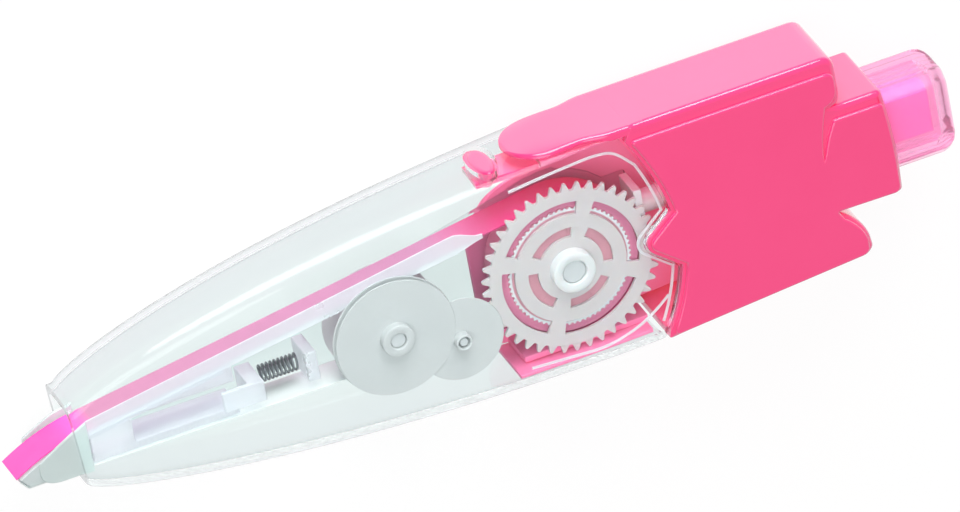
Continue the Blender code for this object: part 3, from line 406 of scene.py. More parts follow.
# Rounds the sharp edges of a piece by a width in millimetres
def eased(piece, width):
    edge = piece.modifiers.new("edges", "BEVEL")
    edge.width = width / 1000
    edge.segments = 2
    edge.limit_method = "ANGLE"
    edge.angle_limit = radians(creaseAngle)
    edge.use_clamp_overlap = True
    edge.miter_outer = "MITER_ARC"
    return levelled(piece)


def settle(piece, body, slot, *nodes):
    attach(piece, body)
    if nodes:
        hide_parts(*nodes)


# Plane curves

def mix(low, high, share):
    return low + (high - low) * share


def clamped(value, low, high):
    return min(max((value - low) / (high - low), 0.0), 1.0)


def eases(value, low, high):
    t = clamped(value, low, high)
    return t * t * (3 - 2 * t)


def stepped(point, turn, distance):
    return (point[0] + distance * cos(turn), point[1] + distance * sin(turn))


def shifted(point, way, distance):
    return (point[0] + way[0] * distance, point[1] + way[1] * distance)


def bearing(centre, point):
    return atan2(point[1] - centre[1], point[0] - centre[0])


def unit(vector):
    length = hypot(*vector)
    return (vector[0] / length, vector[1] / length)


def heading(start, end):
    return unit((end[0] - start[0], end[1] - start[1]))


def arc(centre, radius, start, end, steps):
    turns = [start + (end - start) * k / steps for k in range(steps + 1)]
    return [stepped(centre, turn, radius) for turn in turns]


def curve(start, pull, end, steps):
    points = []
    for k in range(steps + 1):
        t = k / steps
        weights = ((1 - t) ** 2, 2 * t * (1 - t), t ** 2)
        points.append(tuple(sum(w * p[i] for w, p in zip(weights, (start, pull, end))) for i in range(2)))
    return points


def between(start, end, steps):
    return [tuple(a + (b - a) * k / steps for a, b in zip(start, end)) for k in range(1, steps)]


# A smooth path through given points
def through(knots, steps):
    path = []
    ends = zip((knots[0],) + knots, knots, knots[1:], knots[2:] + (knots[-1],))
    for before, start, end, after in ends:
        for k in range(steps):
            t = k / steps
            path.append(tuple(
                0.5 * (2 * b + (c - a) * t + (2 * a - 5 * b + 4 * c - d) * t ** 2
                       + (3 * b - a - 3 * c + d) * t ** 3)
                for a, b, c, d in zip(before, start, end, after)))
    return path + [knots[-1]]


# Directions to the left of a path at each point, long enough to keep its width
def leftWays(path, closed, least=0.35):
    last = len(path) - 1
    ways = []
    for k, point in enumerate(path):
        runs = []
        if closed or k > 0:
            runs.append(heading(path[k - 1], point))
        if closed or k < last:
            runs.append(heading(point, path[(k + 1) % len(path)]))
        normals = [(-y, x) for x, y in runs]
        mean = unit((sum(n[0] for n in normals), sum(n[1] for n in normals)))
        share = max(mean[0] * normals[0][0] + mean[1] * normals[0][1], least)
        ways.append((mean[0] / share, mean[1] / share))
    return ways


def beside(path, distance, closed=False):
    return [shifted(point, way, distance) for point, way in zip(path, leftWays(path, closed))]


# Where a line from a point touches a circle, on one side or the other
def touch(centre, radius, point, side):
    swing = acos(radius / dist(centre, point))
    return stepped(centre, bearing(centre, point) + side * swing, radius)


# Rounds one corner of a path: points from the run before it to the run after it
def corner(before, point, after, radius, steps=5):
    start = shifted(point, heading(point, before), radius)
    end = shifted(point, heading(point, after), radius)
    return curve(start, point, end, steps)


# A plate between two heights; each rim's radius is a number or varies round the outline
def softPlate(outline, z0, z1, lowEdge, highEdge, steps=4):
    ways = leftWays(outline, True)
    rings = []
    for side, edge in ((0, lowEdge), (1, highEdge)):
        radii = [edge(point) if callable(edge) else edge for point in outline]
        for k in range(steps + 1):
            turn = pi / 2 * (k / steps if side == 0 else 1 - k / steps)
            ring = []
            for point, way, radius in zip(outline, ways, radii):
                rise = radius * (1 - cos(turn))
                z = z0 + rise if side == 0 else z1 - rise
                ring.append((*shifted(point, way, radius * (1 - sin(turn))), z))
            rings.append(ring)
    return loft("plate", rings)


# A turned piece about an upright axis, from a closed profile of radius and height
def turned(name, profile, axis, material, segments=roundSteps):
    rings = []
    for k in range(segments):
        turn = 2 * pi * k / segments
        rings.append([(*stepped(axis, turn, radius), z) for radius, z in profile])
    return loft(name, rings, material, closed=True)


# A copy of a CAD node's solid with its edges rounded
def softened(node, name, material, width):
    bm = bmesh.new()
    bm.from_mesh(frame["nodes"][node].data)
    bmesh.ops.remove_doubles(bm, verts=bm.verts, dist=1e-6)
    bmesh.ops.dissolve_limit(bm, angle_limit=radians(1.0), verts=bm.verts, edges=bm.edges)
    bmesh.ops.recalc_face_normals(bm, faces=bm.faces)
    return eased(pieceOf(name, bm, material), width)


# Clear front shell: an arched back, flat sides and a rounded keel, growing from the mouth
shell = {
    "mouthX": reachOf("front_shell")[0].x, "bottom": reachOf("front_shell")[0].y, "top": 17.3,
    "topX": 9.0, "bellyX": -4.0, "mouthTop": 4.95, "mouthLean": 0.8, "mouthBottom": -6.7,
    "crown": (3.6, 5.0, 1.3), "keel": (1.5, 2.0, 1.1), "crownX": (-36.0, 3.0), "half": (4.4, 5.8),
    "middle": (6.0, 6.2), "fullX": -14.0, "backPower": 4.2, "keelPower": 3.2, "topFullness": 0.74,
    "bellyFullness": 0.7, "wall": 1.0, "stations": 120, "crowding": 1.2, "backSteps": 80,
    "keelSteps": 60, "sideSteps": 64,
}


# How far a profile has risen from the mouth to its highest place
def swell(x, peakX, fullness):
    u = (x - shell["mouthX"]) / (peakX - shell["mouthX"])
    return max(1 - (1 - u) ** 2, 0.0) ** fullness


def shellTop(x):
    return mix(shell["mouthTop"], shell["top"], swell(x, shell["topX"], shell["topFullness"]))


def shellBottom(x):
    return mix(shell["mouthBottom"], shell["bottom"], swell(x, shell["bellyX"], shell["bellyFullness"]))


def bulge(x, sizes):
    nose, middle, rear = sizes
    first, last = shell["crownX"]
    if x < first:
        return mix(nose, middle, 1 - (1 - clamped(x, shell["mouthX"], first)) ** 2)
    return mix(middle, rear, clamped(x, first, last) ** 2)


def shellHalf(x):
    return mix(*shell["half"], 1 - (1 - clamped(x, shell["mouthX"], shell["fullX"])) ** 2)


def shellMiddle(x):
    return mix(*shell["middle"], clamped(x, shell["mouthX"], shell["fullX"]))


def shellBack(x, z):
    share = min(abs(z - shellMiddle(x)) / shellHalf(x), 1.0)
    crown = bulge(x, shell["crown"])
    power = shell["backPower"]
    return shellTop(x) - crown + crown * (1 - share ** power) ** (1 / power)


# Place on a rounded arch one unit wide to each side and one tall
def onArch(turn, power):
    across = copysign(abs(cos(turn)) ** (2 / power), cos(turn))
    return across, abs(sin(turn)) ** (2 / power)


# Turns that space points evenly along an arch of the shell's width
def evenTurns(count, power, tall, fine=4000):
    turns = [pi * k / fine for k in range(fine + 1)]
    run = [0.0]
    last = None
    for turn in turns:
        across, rise = onArch(turn, power)
        spot = (shell["half"][1] * across, tall * rise)
        if last:
            run.append(run[-1] + dist(last, spot))
        last = spot
    picked = []
    at = 0
    for k in range(count + 1):
        while run[at] < run[-1] * k / count - 1e-9:
            at += 1
        picked.append(turns[at])
    return picked


# The places round one cross-section, from the near edge over the back and round the keel
def shellSpots():
    sides = [k / shell["sideSteps"] for k in range(1, shell["sideSteps"])]
    backTurns = evenTurns(shell["backSteps"], shell["backPower"], shell["crown"][0])
    keelTurns = evenTurns(shell["keelSteps"], shell["keelPower"], shell["keel"][0])
    runs = (("back", backTurns), ("far", sides), ("keel", keelTurns), ("near", sides))
    return [(kind, value) for kind, values in runs for value in values]


def shellPoint(x, spot, inset):
    kind, value = spot
    half = shellHalf(x) - inset
    middle = shellMiddle(x)
    crown = bulge(x, shell["crown"])
    keel = bulge(x, shell["keel"])
    back = shellTop(x) - crown
    base = shellBottom(x) + keel
    if kind == "back":
        across, rise = onArch(value, shell["backPower"])
        return (x, back + (crown - inset) * rise, middle + half * across)
    if kind == "keel":
        across, rise = onArch(value, shell["keelPower"])
        return (x, base - (keel - inset) * rise, middle - half * across)
    if kind == "far":
        return (x, mix(back, base, value), middle - half)
    return (x, mix(base, back, value), middle + half)


# The joint between shell and case, like the edge of a jigsaw piece
joint = {
    "top": (7.4, 17.67), "topPull": (11.6, 10.2), "upper": (12.6, 4.55), "tab": (10.75, 0.7),
    "tabRadius": 1.8, "lower": (12.8, -3.4), "bottomPull": (11.8, -8.6), "bottomX": 8.75,
    "gap": 0.3, "steps": 24, "edgeSteps": 20,
}


def jointLine(steps):
    centre = joint["tab"]
    radius = joint["tabRadius"]
    bottom = (joint["bottomX"], shellBottom(joint["bottomX"]) - joint["gap"])
    start = bearing(centre, touch(centre, radius, joint["upper"], 1))
    end = bearing(centre, touch(centre, radius, joint["lower"], -1)) + 2 * pi
    line = curve(joint["top"], joint["topPull"], joint["upper"], steps)
    line += arc(centre, radius, start, end, steps)
    return line + curve(joint["lower"], joint["bottomPull"], bottom, steps)


def jointX(y, line):
    if y >= line[0][1]:
        return line[0][0]
    for above, below in zip(line, line[1:]):
        if below[1] <= y <= above[1]:
            return mix(above[0], below[0], (above[1] - y) / max(above[1] - below[1], 1e-9))
    return line[-1][0]


# Release tab: an oval with a soft dome, sunk a little in its hole in the shell's back
tab = {
    "x": -7.8, "z": 6.6, "half": (1.3, 3.2), "rise": -0.15,
    "dome": ((0.0, -0.3), (-0.08, -0.1), (-0.25, -0.02), (-0.6, 0.0)), "foot": -1.2, "clear": 0.45,
    "hole": (13.0, 18.5), "sides": 48,
}


def tabRing(grow, lift, y=None):
    points = []
    for k in range(tab["sides"]):
        turn = 2 * pi * k / tab["sides"]
        x = tab["x"] + (tab["half"][0] + grow) * cos(turn)
        z = tab["z"] + (tab["half"][1] + grow) * sin(turn)
        points.append((x, shellBack(x, z) + lift if y is None else y, z))
    return points


def frontShell():
    line = jointLine(joint["steps"])
    spots = shellSpots()
    first = shell["mouthX"]
    low = shell["mouthBottom"]
    ends = []
    for spot in spots:
        x = joint["upper"][0]
        for _ in range(12):  # settles where the skin meets the joint
            x = jointX(shellPoint(x, spot, 0.0)[1], line)
        ends.append(x)

    def skin(inset, share):
        ring = []
        for spot, end in zip(spots, ends):
            rise = (shellPoint(first, spot, 0.0)[1] - low) / (shell["mouthTop"] - low)
            x = mix(first - shell["mouthLean"] * rise, end, share)
            ring.append(shellPoint(x, spot, inset))
        return ring

    shares = [(k / shell["stations"]) ** shell["crowding"] for k in range(shell["stations"] + 1)]
    rings = [skin(0.0, share) for share in shares]
    rings += [skin(shell["wall"], share) for share in reversed(shares)]
    body = loft("frontShell", rings, clearStyrene, closed=True)
    hole = loft("tabHole", [tabRing(tab["clear"], 0, y) for y in tab["hole"]], clearStyrene)
    return cut(body, [hole])


settle(frontShell(), "case", "clear_plastic", "front_shell")

# Rim inside the shell's near wall: a clouded bead round the window, and one below the gear
bead = {
    "z": (10.74, 10.94), "half": 0.18, "edge": 0.08, "fromJoint": 0.6, "y": (-10.6, 12.2),
    "top": ((-6.4, 13.9), (-2.0, 14.35), (2.0, 14.65), (5.0, 14.75), (7.4, 14.2)),
    "bottom": ((-7.6, -10.7), (-2.9, -11.0), (2.05, -11.2), (5.95, -10.3), (8.7, -8.9), (11.0, -7.2)),
}


def windowRim():
    low, high = bead["y"]
    down = [(x - bead["fromJoint"], y) for x, y in jointLine(joint["steps"]) if low < y < high]
    beads = []
    for path in (through(bead["top"] + (down[0],), steps=8) + down[1:], through(bead["bottom"], steps=8)):
        outline = beside(path, -bead["half"]) + beside(path, bead["half"])[::-1]
        if sum(a[0] * b[1] - b[0] * a[1] for a, b in zip(outline, outline[1:] + outline[:1])) < 0:
            outline.reverse()
        beads.append(softPlate(outline, *bead["z"], bead["edge"], bead["edge"]))
    return joined("windowRim", beads, cloudedStyrene)


settle(windowRim(), "case", "clear_plastic")
print("front shell made")


def releaseTab():
    rings = [tabRing(0.0, tab["foot"])]
    rings += [tabRing(grow, tab["rise"] + drop) for grow, drop in tab["dome"]]
    arm = softened("release_tab", "tabArm", pinkAbs, 0.15)
    return joined("releaseTab", [loft("button", rings), arm], pinkAbs)


settle(releaseTab(), "release", "pink_plastic", "release_tab")


# Knob's cap: a hollow gem with cut edges, flutes along its top and bottom, and a domed end
cap = {
    "middle": (3.75, 6.2), "half": (5.85, 4.2), "chamfer": 1.2, "front": 29.12, "rear": 51.0,
    "wall": 1.0, "cut": 0.3, "flutes": 5, "fluteDepth": 0.22, "fluteSteps": 40, "fluteEnd": 0.5,
    "crease": 24, "cutSteps": 4,
    "inside": ((1.5, -2.0), (2.0, -1.3), (2.6, -1.0)),
    "dome": ((1.9, 0.0), (1.2, -0.15), (0.6, -0.5), (0.2, -1.0), (0.0, -1.6)),
}


def capSection(grow):
    y = cap["half"][0] + grow
    z = cap["half"][1] + grow
    chamfer = cap["chamfer"]
    corners = [(y, z - chamfer), (y - chamfer, z), (chamfer - y, z), (-y, z - chamfer)]
    corners += [(-a, -b) for a, b in corners]
    return [(cap["middle"][0] + a, cap["middle"][1] + b) for a, b in corners]


# Rear case: body with collar, proud side panels, and the tongue over the shell's back
case = {
    "top": 17.67, "rear": 36.5, "bottomRear": -10.8, "frontStep": 2.0, "fin": 0.9, "neck": 2.5,
    "collarRear": 42.3, "collarTop": 10.8, "collarBottom": -3.8, "side": (0.4, 12.0),
    "panel": (0.0, 12.4), "inner": (1.4, 11.0), "band": 2.0, "collarBand": 1.6, "rearWall": 3.0,
    "wall": 1.0, "cavityFront": -4.9, "capRoom": (0.3, 43.5),
    "crease": ((33.9, 7.4), (33.0, 4.2), (33.2, 7.6), (34.3, 11.2)), "creaseX": 35.05,
    "panelInset": 0.45, "panelEdge": 0.28, "panelFoot": 0.05, "panelSink": 0.5, "jointEdge": 0.1,
    "jointReach": 0.45, "jointEnd": 16.0, "nearEdge": (0.6, 8.2, 11.0),
    "farEdge": (0.35, 8.2, 12.0), "topEdge": (1.2, 15.5), "frontRoom": (0.9, 1.6), "footBack": 0.35,
    "collarLean": 0.6, "collarBow": 0.5, "notch": 1.0, "shoulder": 2.2,
    "round": {"foot": 0.6, "toe": 0.6, "fin": 0.5, "low": 0.7, "high": 0.6, "top": 1.7},
    "panelRoom": (0.8, 1.1), "neckX": 33.0, "neckRoom": (0.2, 2.0, 0.3), "endX": 41.0, "endRoom": 1.0,
    "toeBack": 0.5, "heelDrop": 0.8, "panelFootBack": 0.15, "neckBack": 0.7, "endBack": 0.05,
    "lift": (11.7, 13.5), "panelRound": {
        "peak": 1.2, "first": 1.0, "foot": 0.6, "toe": 0.8, "neck": 0.4, "low": 0.8, "end": 0.7},
}


def caseBottom(x):
    front = joint["bottomX"]
    return mix(shellBottom(front), case["bottomRear"], (x - front) / (case["rear"] - front))


def caseFront(steps):
    line = beside(jointLine(steps), joint["gap"])
    first = (line[0][0] + case["frontStep"], case["top"])
    under, over = case["frontRoom"]
    held = [p for p in line[1:-1] if caseBottom(p[0]) + under < p[1] < case["top"] - over]
    x = held[-1][0] - case["footBack"]
    foot = (x, caseBottom(x))
    toe = (case["rear"], case["bottomRear"])
    return [first] + held + corner(held[-1], foot, toe, case["round"]["foot"])


def caseOutline():
    rear = case["rear"]
    collar = case["collarRear"]
    fin = (rear + case["fin"], case["bottomRear"] + case["fin"])
    neck = (rear - case["neck"], case["collarBottom"])
    toe = (rear, case["bottomRear"])
    heel = curve(fin, (fin[0], neck[1] - case["neck"]), neck, steps=12)
    low = (collar, case["collarBottom"])
    level = case["collarTop"]
    high = (collar - case["collarLean"], level)
    end = curve(low, (collar + case["collarBow"], cap["middle"][0]), high, steps=14)
    notch = (rear - case["notch"], level)
    shoulder = curve(notch, (rear, level), (rear, level + case["shoulder"]), steps=8)
    reach = case["round"]
    front = caseFront(joint["edgeSteps"])
    outline = front + between(front[-1], toe, steps=12)[:-1]
    outline += corner(front[-1], toe, fin, reach["toe"]) + corner(toe, fin, heel[3], reach["fin"]) + heel[3:]
    outline += between(neck, low, steps=8)[:-1] + corner(neck, low, end[3], reach["low"]) + end[3:-3]
    outline += corner(end[-4], high, notch, reach["high"]) + between(high, notch, steps=8)[1:] + shoulder
    top = corner(shoulder[-1], (rear, case["top"]), front[0], reach["top"], steps=8)
    return outline + top + between(top[-1], front[0], steps=30)


def onJoint(point, line):
    near = abs(point[0] - joint["gap"] - jointX(point[1], line)) < case["jointReach"]
    return near and point[0] < case["jointEnd"]


# The proud part of the side, inset from the case's outline and cut by a crease at the collar
def casePanel():
    top = case["top"] - case["band"]
    inset = case["panelInset"]
    line = beside(jointLine(joint["edgeSteps"]), joint["gap"] + inset)
    under, over = case["panelRoom"]
    front = [p for p in line if caseBottom(p[0]) + inset + under < p[1] < top - over]
    whole = beside(caseOutline(), inset, closed=True)
    collarTop = case["collarTop"] - case["collarBand"]
    fin = case["rear"] + case["fin"] - inset
    low = case["collarBottom"] + inset
    beyond, under, over = case["neckRoom"]
    neck = [p for p in whole if case["neckX"] < p[0] < fin - beyond]
    neck = [p for p in neck if case["bottomRear"] + under < p[1] < low - over]
    room = case["endRoom"]
    rear = [p for p in whole if p[0] > case["endX"] and low + room < p[1] < collarTop - room]
    toe = (fin - case["toeBack"], caseBottom(fin - case["toeBack"]) + inset)
    heel = (fin, neck[0][1] - case["heelDrop"])
    foot = (front[-1][0] - case["panelFootBack"], caseBottom(front[-1][0]) + inset)
    end = (2 * rear[-1][0] - rear[-2][0], collarTop)
    slitPull, tip, backPull, rise = case["crease"]
    rearX = case["rear"] - inset
    slit = curve((case["creaseX"], collarTop), slitPull, tip, steps=8)
    back = curve(tip, backPull, rise, steps=8)
    lift = curve(rise, *((rearX, y) for y in case["lift"]), steps=8)
    first = (jointX(top, jointLine(joint["edgeSteps"])) + joint["gap"] + inset, top)
    reach = case["panelRound"]
    peak = corner(lift[-1], (rearX, top), first, reach["peak"])
    run = corner(peak[-1], first, front[0], reach["first"]) + front
    run += corner(front[-1], foot, toe, reach["foot"]) + between(foot, toe, steps=10)[1:-1]
    run += corner(foot, toe, heel, reach["toe"]) + neck
    run += corner(neck[-1], (neck[-1][0] - case["neckBack"], low), (rear[0][0], low), reach["neck"])[2:]
    run += corner(neck[-1], (rear[0][0] - case["endBack"], low), rear[0], reach["low"]) + rear
    return run + corner(rear[-1], end, slit[0], reach["end"]) + slit + back[1:] + lift[1:] + peak


# The tongue starts as a pill over the shell's back, then widens in a curve into the case's top
tongue = {
    "nose": -4.9, "root": 11.6, "middle": 6.2, "half": 5.0, "rootHalf": 5.78, "flare": (3.4, 7.3),
    "flat": (-3.5, 6.5), "sink": 0.03, "sinkX": (7.0, 11.0), "crest": 17.68, "lift": 0.1,
    "thick": 0.3, "thin": 0.05, "edge": 0.5, "farEdge": 0.7, "tip": 0.04, "rows": 64, "columns": 56,
}


def tongueSkin():
    nose = tongue["nose"]
    rings = []
    for k in range(tongue["rows"] + 1):
        x = mix(tongue["root"], nose, sin(pi / 2 * k / tongue["rows"]))
        wide = mix(tongue["half"], tongue["rootHalf"], eases(x, *tongue["flare"]))
        reach = max(nose + tongue["half"] - x, 0.0) / tongue["half"]
        half = wide * max(sqrt(max(1 - reach ** 2, 0.0)), tongue["tip"])
        level = eases(x, *tongue["flat"])
        crest = mix(shellTop(x) + tongue["lift"] + tongue["thick"], tongue["crest"], level)
        sink = tongue["sink"] * clamped(x, *tongue["sinkX"])
        low = []
        high = []
        for j in range(tongue["columns"] + 1):
            share = sin(pi / 2 * (2 * j / tongue["columns"] - 1))
            z = tongue["middle"] + half * share
            fall = (shellTop(x) - shellBack(x, z)) * (1 - level)
            edge = tongue["edge"]
            if share < 0:
                edge += tongue["farEdge"] * level
            gap = min((1 - abs(share)) * half, edge, max(x - nose, 0.0))
            drop = edge - sqrt(edge ** 2 - (edge - gap) ** 2)
            top = crest - fall - drop - sink
            high.append((x, top, z))
            low.append((x, min(shellBack(x, z) + tongue["lift"], top - tongue["thin"]) - sink, z))
        rings.append(low + high[::-1])
    return loft("tongue", rings)


def rearCase():
    line = jointLine(joint["steps"])
    edge = case["jointEdge"]

    def grows(point, more, first, last):
        return edge if onJoint(point, line) else edge + more * clamped(point[0], first, last)

    def nearEdge(point):
        return grows(point, *case["nearEdge"])

    def farEdge(point):
        radius, y = case["topEdge"]
        high = point[1] > y and not onJoint(point, line)
        return radius if high else grows(point, *case["farEdge"])

    z0, z1 = case["side"]
    body = softPlate(caseOutline(), z0, z1, farEdge, nearEdge)
    front = case["cavityFront"]
    rear = case["rear"] - case["rearWall"]
    wall = case["wall"]
    inside = [(front, caseBottom(front) + wall), (rear, caseBottom(rear) + wall)]
    inside += [(rear, case["top"] - wall), (front, case["top"] - wall)]
    cavity = loft("cavity", [[(x, y, z) for x, y in inside] for z in case["inner"]])
    room, end = case["capRoom"]
    hole = loft("capHole", [[(x, y, z) for y, z in capSection(room)] for x in (rear - 1, end)])
    panel = casePanel()
    rim = case["panelEdge"]
    foot = case["panelFoot"]
    near = softPlate(panel, z1 - case["panelSink"], case["panel"][1], foot, rim)
    far = softPlate(panel, case["panel"][0], z0 + case["panelSink"], rim, foot)
    pieces = [cut(body, [cavity, hole]), near, far, tongueSkin()]
    return levelled(joined("rearCase", pieces, pinkAbs))


settle(rearCase(), "case", "pink_plastic", "rear_case")
print("rear case made")


# Pieces whose CAD shape is right, with rounded edges
softPieces = {
    "knock_guide": ("knockGuide", "case", "white_plastic", whiteAcetal, 0.1),
    "spring_seat": ("springSeat", "case", "clear_plastic", cloudedStyrene, 0.15),
    "cartridge_plate": ("cartridgePlate", "cartridge", "clear_plastic", clearStyrene, 0.1),
    "head_holder": ("headHolder", "cartridge", "clear_plastic", cloudedStyrene, 0.15),
    "spring_post": ("springPost", "cartridge", "clear_plastic", cloudedStyrene, 0.15),
    "push_rod": ("pushRod", "cartridge", "white_plastic", whiteAcetal, 0.1),
    "supply_axle": ("supplyPin", "cartridge", "grey_plastic", greyAcetal, 0.15),
    "take_up_axle": ("takeUpPin", "cartridge", "grey_plastic", greyAcetal, 0.1),
    "idler_axle": ("idlerPin", "cartridge", "grey_plastic", greyAcetal, 0.1),
    "cam_rotor": ("camRotor", "knock", "white_plastic", whiteAcetal, 0.1),
    # the drum's dusty pink is painted: the roll's light and the shade under the gear
    "supply_drum": ("supplyDrum", "supply_reel", "frosted_plastic", paintedPinkPolypropylene, 0.1),
    "knock_core": ("knockCore", "knock", "magenta_plastic", coreStyrene, 0.25),
}
for node, (name, body, slot, material, width) in softPieces.items():
    settle(softened(node, name, material, width), body, slot, node)
print("softened pieces made")


def capRing(x, grow, fluted=True):
    corners = capSection(grow)
    count = len(corners)
    steps = cap["fluteSteps"]
    ring = []
    for k, point in enumerate(corners):
        after = corners[(k + 1) % count]
        bend = corner(corners[k - 1], point, after, cap["cut"], cap["cutSteps"])
        following = corner(point, after, corners[(k + 2) % count], cap["cut"], cap["cutSteps"])[0]
        long = abs(point[0] - after[0]) < 1e-6
        for j, (y, z) in enumerate(between(bend[-1], following, steps)):
            groove = 0.5 - 0.5 * cos(2 * pi * cap["flutes"] * (j + 1) / steps)
            depth = cap["fluteDepth"] * groove if long and fluted else 0.0
            bend.append((y - copysign(depth, y - cap["middle"][0]), z))
        ring += [(x, y, z) for y, z in bend]
    return ring


def knobCap():
    rear = cap["rear"]
    rings = [capRing(rear - back, grow, False) for back, grow in cap["inside"]]
    rings += [capRing(cap["front"], -cap["wall"], False), capRing(cap["front"], 0.0)]
    rings += [capRing(rear - back, grow, back > cap["fluteEnd"]) for back, grow in cap["dome"]]
    return loft("knockCap", rings, knobStyrene, angle=cap["crease"])


settle(knobCap(), "knock", "magenta_plastic", "knock_cap")
print("knob made")


# Tray behind the reels: a floor that stops at the tape, with a wall above and one below
tray = {
    "y": [reach.y for reach in reachOf("chassis")], "front": -10.5, "corner": 3.0, "reel": 11.2,
    "reelTurn": radians(84), "floor": (1.7, 2.4), "foot": 2.05, "wallTop": 8.2, "wall": 0.8,
    "upperX": (-1.0, 22.22), "lowerX": (-7.5, 8.7), "skirtX": (-9.0, 8.4), "skirt": 0.5,
    "skirtTop": 10.4, "skirtPlay": 0.1, "skirtSteps": 20, "edge": 0.15, "play": 0.3, "cutBack": 2.5,
}


def trayFloor():
    low, high = tray["y"]
    rear = tray["upperX"][1]
    radius = tray["corner"]
    start = acos(tray["front"] / tray["reel"])
    outline = arc((tray["front"] + radius, low + radius), radius, pi, 1.5 * pi, steps=10)
    outline += [(tray["lowerX"][1], low), (rear, caseBottom(rear) + case["wall"] + tray["play"])]
    outline += [(rear, high), (tray["upperX"][0] + tray["cutBack"], high)]
    return outline + arc(supplyAxis, tray["reel"], tray["reelTurn"], start, steps=16)


def reelTray():
    low, high = tray["y"]
    rim = tray["edge"]
    wall = tray["wall"]
    pieces = [softPlate(trayFloor(), *tray["floor"], rim, rim)]
    for (x0, x1), y in ((tray["upperX"], high - wall), (tray["lowerX"], low)):
        outline = [(x0, y), (x1, y), (x1, y + wall), (x0, y + wall)]
        pieces.append(softPlate(outline, tray["foot"], tray["wallTop"], rim, rim))
    first, last = tray["skirtX"]
    steps = tray["skirtSteps"]
    places = [first + (last - first) * k / steps for k in range(steps + 1)]
    skirt = [(x, shellBottom(x) + shell["wall"] + tray["skirtPlay"]) for x in places]
    skirt += [(x, y + tray["skirt"]) for x, y in reversed(skirt)]
    pieces.append(softPlate(skirt, tray["foot"], tray["skirtTop"], rim, rim))
    return joined("tray", pieces, trayAbs)


settle(reelTray(), "case", "pink_plastic", "chassis")
print("tray made")


# Wheels: the supply gear with rings of slots between its spokes, and two smaller ones whose
# teeth lie under a thin flange, which is what shows
wheels = {
    "module": 0.51, "gear": (8.85, 9.3), "disc": (8.6, 8.8), "film": (3.5, 8.5), "hubTop": 10.7,
    "edge": 0.08, "toothSteps": 12, "flank": (0.3, 0.84), "boreSteps": 48, "spokes": 4,
    "spokeBearing": radians(68), "spokeWidth": 2.0, "slots": ((4.2, 5.5), (7.2, 8.95)),
    "slotDepth": 2.0,
}
supply = {
    "teeth": 42, "depth": (-0.25, 0.75), "phase": radians(195.8), "bore": 2.0, "hub": (1.55, 2.75, 3.6)}
idler = {
    "teeth": 20, "depth": (-0.9, 0.15), "bearing": radians(195.8), "axis": idlerAxis,
    "bore": 0.75, "hub": 1.1, "low": 9.0, "flange": (5.5, 9.34, 9.46)}
takeUp = {
    "teeth": 14, "depth": (-0.59, 0.5), "bearing": radians(157.6), "axis": takeUpAxis,
    "bore": 1.0, "hub": 2.1, "low": 3.6, "flange": (7.7, 9.5, 9.62)}


def metres(value):
    return value / 1000


def above(axis, z):
    return toPart((*axis, 0.0)) + Vector((0.0, 0.0, metres(z)))


def newTree(name):
    tree = bpy.data.node_groups.new(name, "GeometryNodeTree")
    tree.interface.new_socket(name="Geometry", in_out="OUTPUT", socket_type="NodeSocketGeometry")
    return tree


# Makes a piece of what a tree of nodes grows, set in its place
def grown(name, tree, geometry, material, spot, turn=(0.0, 0.0, 0.0)):
    placed = addNode(tree, "GeometryNodeTransform", {
        "Geometry": geometry, "Translation": spot, "Rotation": turn})
    real = addNode(tree, "GeometryNodeRealizeInstances", {"Geometry": placed})
    addNode(tree, "NodeGroupOutput", {"Geometry": real})
    piece = added(name, bpy.data.meshes.new(name))
    step = piece.modifiers.new("grow", "NODES")
    step.node_group = tree
    applied(piece)
    smooth(piece.data)
    piece.data.materials.clear()
    piece.data.materials.append(material)
    return piece


# A toothed plate: a circle whose radius rises and falls once per tooth, filled and thickened
def toothedPlate(name, teeth, radii, bore, heights, axis, phase, material):
    tree = newTree(name)
    steps = wheels["toothSteps"]
    low, high = heights
    circle = addNode(tree, "GeometryNodeCurvePrimitiveCircle", {"Resolution": teeth * steps, "Radius": 1.0})
    height = addNode(tree, "GeometryNodeInputIndex")
    for operation, by in (("MODULO", steps), ("DIVIDE", steps / 2), ("SUBTRACT", 1.0), ("ABSOLUTE", 0.0)):
        height = addNode(tree, "ShaderNodeMath", {0: height, 1: by}, operation=operation)
    radius = addNode(tree, "ShaderNodeMapRange", {
        "Value": height, "From Min": wheels["flank"][0], "From Max": wheels["flank"][1],
        "To Min": metres(radii[0]), "To Max": metres(radii[1])})
    place = addNode(tree, "GeometryNodeInputPosition")
    out = addNode(tree, "ShaderNodeVectorMath", {0: place, "Scale": radius}, operation="SCALE")
    shaped = addNode(tree, "GeometryNodeSetPosition", {"Geometry": circle, "Position": out})
    hole = addNode(tree, "GeometryNodeCurvePrimitiveCircle", {
        "Resolution": wheels["boreSteps"], "Radius": metres(bore)})
    lines = addNode(tree, "GeometryNodeJoinGeometry", {"Geometry": shaped})
    tree.links.new(hole.outputs["Curve"], lines.inputs["Geometry"])
    face = addNode(tree, "GeometryNodeFillCurve", {"Curve": lines})
    block = addNode(tree, "GeometryNodeExtrudeMesh", {
        "Mesh": face, "Offset Scale": metres(high - low), "Individual": False})
    under = addNode(tree, "GeometryNodeFlipFaces", {"Mesh": face})
    both = addNode(tree, "GeometryNodeJoinGeometry", {"Geometry": block})
    tree.links.new(under.outputs["Mesh"], both.inputs["Geometry"])
    whole = addNode(tree, "GeometryNodeMergeByDistance", {"Geometry": both, "Distance": 1e-7})
    return grown(name, tree, whole, material, above(axis, low), (0.0, 0.0, phase))


